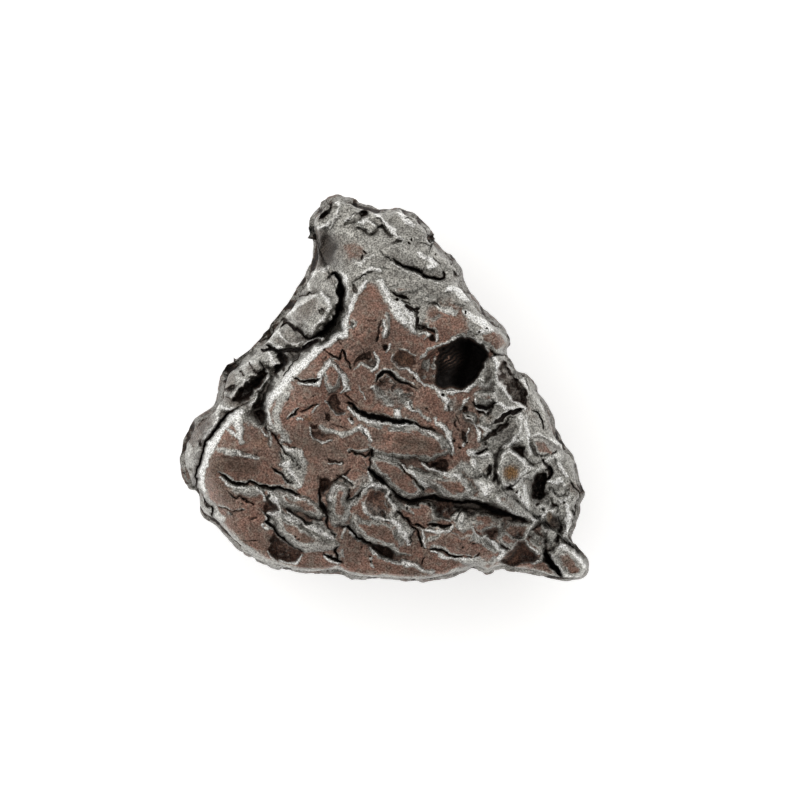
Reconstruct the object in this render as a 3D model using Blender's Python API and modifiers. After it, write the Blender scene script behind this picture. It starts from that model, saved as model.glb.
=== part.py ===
"""Small iron meteorite: one solid, knobbly, rounded-triangular lump lying on its back.

Frame: metres, +Z up. +X runs along the longest side, +Y towards the narrow knobbed end, and +Z is the
pillowed, deeply pitted front face. Z = 0 is the worn flat the lump rests on, and the origin is below the
middle of its bounding box.

Plan positions are written in drawing units: u to the right and v downwards. The lump is 411.5 units long.
"""

import bpy
import bmesh
import math
import numpy as np
from mathutils import Matrix, Vector, noise

# ---------------------------------------------------------------- driving dimensions
LENGTH = 0.046            # along X
SPAN_UNITS = 411.5        # the same length in drawing units
UNIT = LENGTH / SPAN_UNITS
CENTRE_U = 384.75         # middle of the outline
CENTRE_V = 389.25
HUB_U, HUB_V = 385.0, 400.0   # point the outline is seen from when it is wrapped round the body

BELLY_Z = -0.0011         # lowest point of the rounded belly before the rest flat is worn on it
SEAT_U, SEAT_V = 386.0, 428.0  # middle of the worn flat
ROUND_OVER = 25.0         # width in units of the front face's rounded edge
VOXEL = 0.00034           # cell size of the remesh that evens the skin out
DECIMATE = 0.088          # share of the remeshed faces that are kept
PILLOW = 0.00055          # depth of the furrows between pillows on the flanks and belly
SEED = Vector((3.1, 7.7, 1.9))
DRIFT = (Vector((9.3, -1.5, -7.9)), Vector((-3.2, 8.1, 4.6)), Vector((6.7, 2.4, -5.3)))

# height of the widest line above the rest plane: direction from the hub in degrees (0 right, 90 down), millimetres
RIM = [
    (-180, 7.2), (-165, 7.2), (-140, 8.0), (-115, 7.6), (-100, 7.8), (-75, 8.3), (-45, 9.0), (-20, 8.8), (0, 8.0),
    (24, 7.4), (38, 6.9), (60, 8.3), (90, 8.6), (130, 8.0), (150, 7.1), (166, 6.7), (180, 7.2),
]

# outline of the lump seen from the front, clockwise from the top knob
OUTLINE = [
    (309, 226), (310, 218), (314, 212), (318, 206), (324, 200), (331, 197), (338, 195.5), (345, 197), (353, 198.5),
    (360, 203), (370, 205), (378, 208), (390, 207.5), (398, 206.5), (406, 209.5), (415, 212), (420, 215), (424, 220),
    (431, 227), (434.5, 235), (433, 238.5), (438, 242), (444, 249), (455, 256), (462, 267), (465, 283), (475, 295),
    (486, 310), (496, 319), (507, 330), (512, 342), (508, 353), (513, 363), (517, 370.5), (526, 374), (536, 384),
    (544, 398), (550, 407), (555, 418), (560, 434), (567, 444.5), (575, 458), (581, 480), (586, 491.5), (581, 503),
    (580, 512), (576, 526), (573, 536.5), (580, 549.5), (588.5, 558), (590.5, 567), (586, 577), (578, 581),
    (560, 582), (548, 579.5), (533, 575), (515, 572), (500, 570), (487, 574), (475, 570.5), (465, 572), (450, 578),
    (430, 582), (412, 583), (390, 580.5), (366, 580.5), (350, 578), (337, 573), (320, 575), (300, 574.5), (280, 570),
    (262, 563), (246, 555), (231, 543), (217, 527), (204, 518), (199, 509), (197, 494), (189, 489), (183, 477),
    (179, 458), (182, 442), (187, 428), (195, 416), (208, 409), (215, 401), (217.5, 388), (222, 370), (235, 359),
    (249, 349), (259, 338.5), (270, 323), (280, 310), (291, 295), (303, 277), (309, 263), (313, 248), (312, 236),
]

# height of the front face above the rest plane, in millimetres, before its edge is rounded over
HEIGHTS = [
    (320, 215, 12.8), (350, 212, 12.8), (390, 222, 13.6), (425, 230, 13.0), (326, 250, 11.8), (355, 250, 15.0),
    (400, 250, 15.8), (445, 265, 14.8), (352, 280, 16.6), (345, 302, 16.4), (326, 300, 14.0), (310, 315, 14.8),
    (290, 335, 13.8), (270, 360, 12.8), (250, 372, 12.4), (230, 385, 12.2), (380, 300, 18.2), (370, 325, 19.6),
    (350, 335, 19.2), (420, 290, 17.4), (450, 290, 16.8), (450, 315, 18.3), (480, 325, 18.1), (500, 338, 17.6),
    (400, 345, 19.4), (330, 350, 18.2), (300, 368, 18.0), (300, 400, 19.4), (284, 400, 18.3), (340, 385, 20.2),
    (380, 360, 19.6), (400, 400, 19.7), (430, 440, 20.8), (380, 435, 20.9), (340, 430, 20.0), (300, 440, 18.8),
    (450, 400, 19.3), (470, 420, 19.0), (486, 397, 18.6), (482, 365, 18.4), (505, 385, 16.5), (525, 400, 14.8),
    (540, 420, 13.9), (515, 430, 16.8), (500, 435, 17.3), (545, 445, 14.6), (511, 470, 18.6), (495, 470, 18.6),
    (530, 465, 16.6), (555, 455, 13.2), (562, 480, 11.8), (575, 490, 11.0), (545, 488, 13.2), (550, 505, 13.0),
    (570, 515, 11.6), (505, 505, 18.5), (480, 480, 19.5), (450, 485, 20.4), (410, 480, 20.6), (370, 480, 20.0),
    (340, 490, 19.6), (310, 480, 18.8), (270, 440, 17.6), (240, 440, 16.8), (222, 440, 16.0), (250, 475, 17.6),
    (222, 475, 16.6), (208, 475, 15.4), (240, 500, 17.0), (232, 525, 15.8), (260, 550, 15.8), (270, 520, 17.2),
    (300, 510, 18.6), (300, 540, 17.9), (300, 565, 16.4), (340, 530, 18.8), (350, 570, 16.6), (380, 520, 19.2),
    (380, 560, 17.6), (430, 515, 18.4), (450, 545, 18.0), (480, 545, 17.4), (410, 575, 16.4), (455, 570, 15.8),
    (500, 525, 16.8), (520, 525, 16.0), (520, 552, 14.6), (540, 540, 13.6), (550, 530, 12.8), (565, 560, 12.6),
    (580, 567, 12.0), (540, 568, 13.2), (500, 560, 15.0), (195, 440, 11.8), (190, 465, 11.4), (205, 505, 11.4),
]

# furrows: points, half width, depth in millimetres
FURROWS = [
    ([(330, 276), (336, 272), (341, 286), (340, 303), (336, 316), (326, 330), (311, 339)], 7.0, 2.2),
    ([(222, 397), (240, 401), (252, 395), (263, 384), (275, 365), (283, 352)], 7.5, 2.2),
    ([(233, 397), (246, 383), (262, 374)], 4.0, 1.0),
    ([(381, 251), (397, 262), (410, 268), (424, 274), (442, 278)], 4.5, 1.2),
    ([(353, 283), (362, 276), (375, 273)], 4.0, 0.8),
    ([(302, 286), (297, 296), (310, 296)], 4.0, 0.8),
    ([(281, 325), (292, 329), (306, 339)], 5.0, 1.0),
    ([(389, 292), (401, 297), (412, 306), (418, 322), (427, 328), (434, 338)], 6.0, 1.3),
    ([(385, 286), (393, 301), (404, 314), (418, 330)], 8.0, 0.9),
    ([(344, 352), (352, 366), (366, 358), (374, 350)], 5.0, 0.9),
    ([(376, 383), (384, 373), (400, 381), (416, 390)], 6.0, 1.1),
    ([(349, 404), (362, 413), (380, 420), (400, 422), (420, 425), (436, 431)], 6.5, 1.5),
    ([(295, 378), (310, 381), (321, 381)], 4.0, 0.7),
    ([(289, 418), (301, 408), (318, 406)], 5.0, 0.8),
    ([(266, 427), (276, 438), (285, 452), (299, 462)], 5.0, 0.9),
    ([(221, 472), (233, 480), (260, 484), (289, 489), (299, 493)], 5.0, 1.1),
    ([(230, 492), (242, 499), (254, 505)], 4.0, 0.8),
    ([(220, 507), (244, 509)], 4.5, 0.8),
    ([(198, 494), (208, 503), (213, 512), (216, 522)], 5.0, 1.2),
    ([(288, 508), (300, 518), (318, 521), (330, 535)], 6.0, 1.0),
    ([(322, 480), (321, 500), (326, 514), (333, 536)], 5.0, 1.2),
    ([(350, 492), (360, 490), (370, 484)], 4.0, 0.8),
    ([(344, 526), (356, 534), (368, 541), (384, 548), (396, 552)], 7.0, 1.5),
    ([(336, 547), (337, 557), (326, 554)], 4.5, 1.0),
    ([(370, 468), (389, 486), (407, 498), (430, 498), (455, 500), (473, 503), (492, 508), (508, 515), (526, 519)],
     8.0, 2.4),
    ([(396, 508), (410, 520), (421, 540)], 5.0, 1.2),
    ([(428, 522), (450, 526)], 6.0, 1.1),
    ([(432, 550), (452, 553), (477, 555)], 4.5, 0.8),
    ([(401, 464), (410, 476), (423, 489)], 5.0, 0.9),
    ([(429, 465), (447, 464)], 6.5, 1.3),
    ([(453, 409), (470, 404), (484, 410), (496, 405)], 6.0, 0.9),
    ([(491, 426), (505, 415), (522, 409)], 4.5, 0.9),
    ([(478, 452), (486, 443), (500, 437)], 5.0, 0.9),
    ([(512, 447), (524, 452)], 5.0, 0.9),
    ([(488, 465), (487, 475), (476, 477)], 4.5, 0.8),
    ([(531, 411), (540, 420), (543, 428)], 4.5, 0.8),
    ([(486, 531), (494, 534), (500, 526)], 5.0, 0.8),
    ([(509, 487), (520, 478), (533, 471)], 4.0, 0.8),
    ([(558, 518), (560, 532), (556, 542)], 6.0, 1.2),
]

# wide soft steps down from a pillow's lip: points, reach, drop in millimetres, side (+1 drops to the right of the path)
STEPS = [
    ([(228, 416), (216, 436), (206, 458), (200, 478), (199, 494), (210, 512), (226, 528)], 24.0, 1.2, 1),
    ([(344, 346), (306, 360), (284, 378), (270, 400), (268, 424)], 26.0, 1.3, 1),
]

# deep pits cut as scaled spheres: u, v, half size in u, v and mm of depth, turn in degrees, mouth height in millimetres
PITS = [
    ("pit_deep_left", 437, 366, 19, 16, 3.6, -14, 18.4),
    ("pit_deep_right", 461, 364, 27, 23, 6.4, -6, 18.0),
    ("pit_flank", 538, 484, 9, 15, 3.6, 6, 13.4),
    ("pit_lower_left", 285, 548, 16, 11, 2.6, -30, 16.9),
    ("pit_curved", 509, 388, 8, 17, 2.4, 24, 16.4),
    ("pit_kite", 519, 555, 15, 9, 2.0, 12, 14.6),
    ("pit_slab", 196, 436, 7, 13, 1.9, -28, 10.6),
    ("pit_knob", 320, 212, 4, 10, 1.7, -40, 12.2),
    ("pit_centre", 403, 360, 12, 8, 1.3, 10, 19.4),
    ("pit_small_a", 327, 485, 6, 9, 1.8, -20, 18.6),
    ("pit_small_b", 338, 404, 8, 8, 1.2, 0, 20.0),
    ("pit_small_c", 322, 437, 12, 7, 1.0, -15, 19.4),
    ("pit_small_d", 376, 504, 11, 15, 1.1, 10, 19.4),
    ("pit_small_e", 364, 216, 7, 5, 1.6, 20, 12.9),
    ("pit_toe", 554, 566, 5, 13, 3.0, 32, 13.0),
]


def to_metres(u, v):
    """Plan position of a drawing point."""
    return (u - CENTRE_U) * UNIT, (CENTRE_V - v) * UNIT


def smooth(t):
    t = np.clip(t, 0.0, 1.0)
    return t * t * (3.0 - 2.0 * t)


def path_distance(u, v, path, closed=False):
    """Distance from each point to a path, and the side of it that the point lies on."""
    pts = list(path) + ([path[0]] if closed else [])
    best = np.full(u.shape, 1e9)
    side = np.zeros(u.shape)
    for (ax, ay), (bx, by) in zip(pts[:-1], pts[1:]):
        dx, dy = bx - ax, by - ay
        t = np.clip(((u - ax) * dx + (v - ay) * dy) / (dx * dx + dy * dy), 0.0, 1.0)
        d = np.hypot(u - ax - t * dx, v - ay - t * dy)
        near = d < best
        best = np.where(near, d, best)
        side = np.where(near, np.sign((v - ay) * dx - (u - ax) * dy), side)
    return best, side


def fit_heights(points):
    """Smooth surface through the height points: cubic radial basis with a plane."""
    p = np.array(points, float)
    uv, h = p[:, :2] / 100.0, p[:, 2]
    n = len(p)
    r = np.hypot(uv[:, None, 0] - uv[None, :, 0], uv[:, None, 1] - uv[None, :, 1])
    a = np.zeros((n + 3, n + 3))
    a[:n, :n] = r ** 3 + np.eye(n) * 0.004
    a[:n, n] = a[n, :n] = 1.0
    a[:n, n + 1:] = uv
    a[n + 1:, :n] = uv.T
    w = np.linalg.solve(a, np.concatenate([h, np.zeros(3)]))

    def height(u, v):
        u, v = u / 100.0, v / 100.0
        out = w[n] + w[n + 1] * u + w[n + 2] * v
        for k in range(n):
            out = out + w[k] * np.hypot(u - uv[k, 0], v - uv[k, 1]) ** 3
        return out

    return height


def outline_radius(angle):
    """Distance from the hub to the outline along each angle."""
    pts = np.array(OUTLINE, float) - (HUB_U, HUB_V)
    best = np.zeros(angle.shape)
    c, s = np.cos(angle), np.sin(angle)
    for a, b in zip(pts, np.roll(pts, -1, axis=0)):
        d = b - a
        det = c * -d[1] + s * d[0]
        det = np.where(np.abs(det) < 1e-9, 1e-9, det)
        r = (a[0] * -d[1] + a[1] * d[0]) / det
        t = (c * a[1] - s * a[0]) / det
        hit = (t >= -1e-6) & (t <= 1.000001) & (r > 0)
        best = np.where(hit, np.maximum(best, r), best)
    return best


def front_relief(u, v):
    """Furrows and soft steps of the front face, in millimetres, measured down from the smooth face."""
    drop = np.zeros(u.shape)
    for path, half, depth in FURROWS:
        d, _ = path_distance(u, v, path)
        drop = np.maximum(drop, depth * (1.0 - smooth(d / half)) ** 0.8)
    for path, reach, depth, hand in STEPS:
        d, side = path_distance(u, v, path)
        t = np.where(side * hand > 0, d / reach, 0.0)
        fade = 1.0 - smooth((d - reach) / (reach * 1.6))
        drop = drop + depth * smooth(t) * fade
    return drop


def drift(q):
    """Smooth shift of a point: one noise read at three fixed offsets, one for each axis."""
    return Vector([noise.noise(q + offset) for offset in DRIFT])


def pillows(co, scale, sharp):
    """0 in the furrow between two pillows, 1 on top of one, for every point."""
    out = np.empty(len(co))
    for i, p in enumerate(co):
        q = Vector(p) * scale + SEED
        q += drift(q * 0.7) * 0.45
        near = noise.voronoi(q, distance_metric="DISTANCE", exponent=2.5)[0]
        out[i] = near[1] - near[0]
    return smooth(out / sharp)


def make_material():
    mat = bpy.data.materials.new("meteoritic_iron")
    mat.use_nodes = True
    bsdf = mat.node_tree.nodes["Principled BSDF"]
    bsdf.inputs["Base Color"].default_value = (0.20, 0.135, 0.115, 1.0)
    bsdf.inputs["Metallic"].default_value = 1.0
    bsdf.inputs["Roughness"].default_value = 0.42
    mat.diffuse_color = (0.20, 0.135, 0.115, 1.0)
    mat.metallic = 1.0
    mat.roughness = 0.42
    return mat


def shape_body(obj):
    """Turns the sphere into the lump: outline, front face, flanks and belly."""
    me = obj.data
    n = len(me.vertices)
    co = np.empty(n * 3)
    me.vertices.foreach_get("co", co)
    co = co.reshape(n, 3)
    co /= np.linalg.norm(co, axis=1)[:, None]
    flat = np.hypot(co[:, 0], co[:, 1])
    angle = np.arctan2(-co[:, 1], co[:, 0])          # v runs down
    radius = outline_radius(angle)

    u = HUB_U + flat * radius * np.cos(angle)
    v = HUB_V + flat * radius * np.sin(angle)
    edge, _ = path_distance(u, v, OUTLINE, closed=True)

    # front face, rounded over towards the outline
    height = fit_heights(HEIGHTS)(u, v) - front_relief(u, v)
    crown = np.sqrt(np.clip(1.0 - (1.0 - np.minimum(edge / ROUND_OVER, 1.0)) ** 2, 0.0, 1.0))
    rim = np.interp(np.degrees(angle), *np.array(RIM, float).T)
    front = rim + (height - rim) * crown

    # belly: a flatter dome, lowest over the seat
    far = np.hypot((u - SEAT_U) / 1.25, v - SEAT_V)
    belly_low = BELLY_Z * 1000.0 + 3.1 * smooth(far / 170.0)
    belly_crown = np.sqrt(np.clip(1.0 - (1.0 - np.minimum(edge / 62.0, 1.0)) ** 2, 0.0, 1.0))
    belly = rim + (belly_low - rim) * belly_crown

    z = np.where(co[:, 2] >= 0.0, front, belly) / 1000.0
    x, y = to_metres(u, v)
    body = np.stack([x, y, z], axis=1)

    # pillows on the flanks and belly, fading out on the front face and along the outline
    me.vertices.foreach_set("co", body.ravel())
    me.update()
    normal = np.empty(n * 3)
    me.vertices.foreach_get("normal", normal)
    normal = normal.reshape(n, 3)
    under = smooth((-co[:, 2] - 0.02) / 0.25)
    big = pillows(body, 150.0, 0.32)
    small = pillows(body + 0.05, 330.0, 0.30)
    sink = PILLOW * (1.0 - big) + 0.35 * PILLOW * (1.0 - small)
    wall = smooth((co[:, 2] - 0.02) / 0.15) * smooth((1.0 - normal[:, 2]) / 0.6)
    body -= normal * (sink * (under + 0.9 * wall))[:, None]
    me.vertices.foreach_set("co", body.ravel())
    me.update()


def sphere_cutter(name, place, size, turn, collection):
    bpy.ops.mesh.primitive_uv_sphere_add(segments=24, ring_count=14, radius=1.0)
    cutter = bpy.context.object
    cutter.name = name
    cutter.data.transform(Matrix.Diagonal((*size, 1.0)))
    cutter.location = place
    cutter.rotation_euler = (0.0, 0.0, math.radians(turn))
    keep_as_cutter(cutter, collection)
    return cutter


def keep_as_cutter(obj, collection):
    for c in list(obj.users_collection):
        c.objects.unlink(obj)
    collection.objects.link(obj)
    obj.hide_render = True
    obj.display_type = "WIRE"


def main():
    for obj in list(bpy.data.objects):
        bpy.data.objects.remove(obj, do_unlink=True)

    parts = bpy.data.collections.new("meteorite")
    cutters = bpy.data.collections.new("cutters")
    flats = bpy.data.collections.new("wear")
    for c in (parts, cutters, flats):
        bpy.context.scene.collection.children.link(c)

    bpy.ops.mesh.primitive_ico_sphere_add(subdivisions=7, radius=1.0)
    body = bpy.context.object
    body.name = "meteorite"
    body.data.name = "meteorite"
    for c in list(body.users_collection):
        c.objects.unlink(body)
    parts.objects.link(body)
    shape_body(body)
    body.data.materials.append(make_material())

    # the deep pits, each a scaled sphere sunk into the front face
    for name, u, v, half_u, half_v, depth, turn, mouth in PITS:
        x, y = to_metres(u, v)
        sphere_cutter(name, (x, y, (mouth + 0.2) / 1000.0), (half_u * UNIT, half_v * UNIT, depth / 1000.0), turn,
                      cutters)

    # everything below the rest plane is worn away
    bpy.ops.mesh.primitive_cube_add(size=1.0)
    wear = bpy.context.object
    wear.name = "rest_flat"
    wear.data.transform(Matrix.Diagonal((0.08, 0.08, 0.02, 1.0)))
    wear.location = (0.0, 0.0, -0.01)
    keep_as_cutter(wear, flats)

    cut = body.modifiers.new("pits", "BOOLEAN")
    cut.operation = "DIFFERENCE"
    cut.operand_type = "COLLECTION"
    cut.collection = cutters
    cut.solver = "EXACT"

    even = body.modifiers.new("even_skin", "REMESH")
    even.mode = "VOXEL"
    even.voxel_size = VOXEL
    even.use_smooth_shade = True

    thin = body.modifiers.new("fewer_faces", "DECIMATE")
    thin.decimate_type = "COLLAPSE"
    thin.ratio = DECIMATE
    thin.use_collapse_triangulate = True

    seat = body.modifiers.new("rest_flat", "BOOLEAN")
    seat.operation = "DIFFERENCE"
    seat.object = wear
    seat.solver = "EXACT"


main()
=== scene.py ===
import math
import bpy
import bmesh
import numpy as np
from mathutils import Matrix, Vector


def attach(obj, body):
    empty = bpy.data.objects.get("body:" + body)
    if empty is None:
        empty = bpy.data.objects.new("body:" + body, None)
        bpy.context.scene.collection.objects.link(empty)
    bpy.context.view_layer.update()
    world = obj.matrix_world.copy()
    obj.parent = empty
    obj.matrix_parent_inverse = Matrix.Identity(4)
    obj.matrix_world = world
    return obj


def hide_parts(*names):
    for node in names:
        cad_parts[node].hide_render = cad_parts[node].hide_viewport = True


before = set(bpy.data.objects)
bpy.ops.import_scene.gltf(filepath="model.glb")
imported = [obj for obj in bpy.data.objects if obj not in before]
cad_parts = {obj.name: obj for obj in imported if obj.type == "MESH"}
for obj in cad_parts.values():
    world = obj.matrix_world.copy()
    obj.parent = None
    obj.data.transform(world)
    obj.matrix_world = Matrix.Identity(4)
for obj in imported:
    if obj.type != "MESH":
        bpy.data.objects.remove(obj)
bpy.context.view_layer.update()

# ------------------------------------------------------------------------------------------------------------
# Frame: metres, +Z up. The lump lies on its worn flat (Z = 0) with its pitted face up. Plan positions below are
# in drawing units, u to the right and v down; the lump is 411.5 units (46 mm) long.
# ------------------------------------------------------------------------------------------------------------
UNIT = 0.046 / 411.5
MID_U, MID_V = 384.75, 389.25
HUB_U, HUB_V = 385.0, 400.0
MM = 0.001 / UNIT            # one millimetre in drawing units

# how far in from the widest line the face rounds over, by angle round the hub (0 right, 90 down, 180 left)
ROUNDING = [
    (-180, 15), (-150, 17), (-125, 18), (-105, 12), (-85, 12), (-65, 15), (-40, 15), (-15, 14), (10, 13), (30, 10),
    (60, 10), (90, 9), (120, 10), (150, 12), (180, 15),
]

RIM = [
    (-180, 7.2), (-165, 7.2), (-140, 8.0), (-115, 7.6), (-100, 7.8), (-75, 8.3), (-45, 9.0), (-20, 8.8), (0, 8.0),
    (24, 7.4), (38, 6.9), (60, 8.3), (90, 8.6), (130, 8.0), (150, 7.1), (166, 6.7), (180, 7.2),
]

OUTLINE = [
    (309, 226), (310, 218), (314, 212), (318, 206), (324, 200), (331, 197), (338, 195.5), (345, 197), (353, 198.5),
    (360, 203), (370, 205), (378, 208), (390, 207.5), (398, 206.5), (406, 209.5), (415, 212), (420, 215), (424, 220),
    (431, 227), (434.5, 235), (433, 238.5), (438, 242), (444, 249), (455, 256), (462, 267), (465, 283), (475, 295),
    (486, 310), (496, 319), (507, 330), (512, 342), (508, 353), (513, 363), (517, 370.5), (526, 374), (536, 384),
    (544, 398), (550, 407), (555, 418), (560, 434), (567, 444.5), (575, 458), (581, 480), (586, 491.5), (581, 503),
    (580, 512), (576, 526), (573, 536.5), (580, 549.5), (588.5, 558), (590.5, 567), (586, 577), (578, 581),
    (560, 582), (548, 579.5), (533, 575), (515, 572), (500, 570), (487, 574), (475, 570.5), (465, 572), (450, 578),
    (430, 582), (412, 583), (390, 580.5), (366, 580.5), (350, 578), (337, 573), (320, 575), (300, 574.5), (280, 570),
    (262, 563), (246, 555), (231, 543), (217, 527), (204, 518), (199, 509), (197, 494), (189, 489), (183, 477),
    (179, 458), (182, 442), (187, 428), (195, 416), (208, 409), (215, 401), (217.5, 388), (222, 370), (235, 359),
    (249, 349), (259, 338.5), (270, 323), (280, 310), (291, 295), (303, 277), (309, 263), (313, 248), (312, 236),
]

# height of the smooth front face above the rest plane, in millimetres
HEIGHTS = [
    (320, 215, 12.8), (350, 212, 12.8), (390, 222, 13.6), (425, 230, 13.0), (326, 250, 11.8), (355, 250, 15.0),
    (400, 250, 15.8), (445, 265, 14.8), (352, 280, 16.6), (345, 302, 17.0), (326, 300, 15.0), (310, 315, 14.2),
    (290, 333, 13.2), (270, 358, 12.0), (250, 372, 11.6), (230, 385, 11.4), (380, 300, 18.2), (370, 325, 19.4),
    (350, 335, 19.2), (420, 290, 17.4), (450, 290, 16.8), (450, 315, 18.3), (480, 325, 18.1), (500, 338, 17.6),
    (400, 345, 19.4), (330, 350, 19.2), (300, 368, 19.3), (300, 400, 19.7), (284, 400, 19.3), (340, 385, 20.1),
    (380, 360, 19.6), (400, 400, 19.9), (430, 440, 20.6), (380, 435, 20.7), (340, 430, 20.0), (300, 440, 19.0),
    (450, 400, 19.6), (470, 420, 19.2), (486, 397, 18.8), (482, 365, 18.6), (505, 385, 16.8), (525, 400, 15.0),
    (540, 420, 14.0), (515, 430, 17.0), (500, 435, 17.8), (545, 445, 14.8), (511, 470, 18.4), (495, 470, 18.8),
    (530, 465, 16.6), (555, 455, 13.4), (562, 480, 12.0), (575, 490, 11.0), (545, 488, 13.4), (550, 505, 13.4),
    (570, 515, 11.8), (505, 505, 18.5), (480, 480, 19.4), (450, 485, 20.2), (410, 480, 20.4), (370, 480, 20.0),
    (340, 490, 19.6), (310, 480, 18.9), (270, 440, 18.0), (240, 440, 17.9), (222, 440, 17.6), (250, 475, 17.8),
    (222, 475, 17.8), (208, 475, 17.2), (240, 500, 17.1), (232, 525, 16.0), (260, 550, 15.9), (270, 520, 17.3),
    (300, 510, 18.6), (300, 540, 17.9), (300, 565, 16.4), (340, 530, 18.8), (350, 570, 16.8), (380, 520, 19.3),
    (380, 560, 17.8), (430, 515, 18.8), (450, 545, 18.2), (480, 545, 17.5), (410, 575, 16.6), (455, 570, 16.0),
    (500, 525, 17.2), (520, 525, 16.3), (520, 552, 14.9), (540, 540, 13.9), (550, 530, 13.0), (565, 560, 12.8),
    (580, 567, 12.2), (540, 568, 13.6), (500, 560, 15.2), (195, 440, 11.8), (190, 465, 11.4), (205, 505, 11.6),
]

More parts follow.
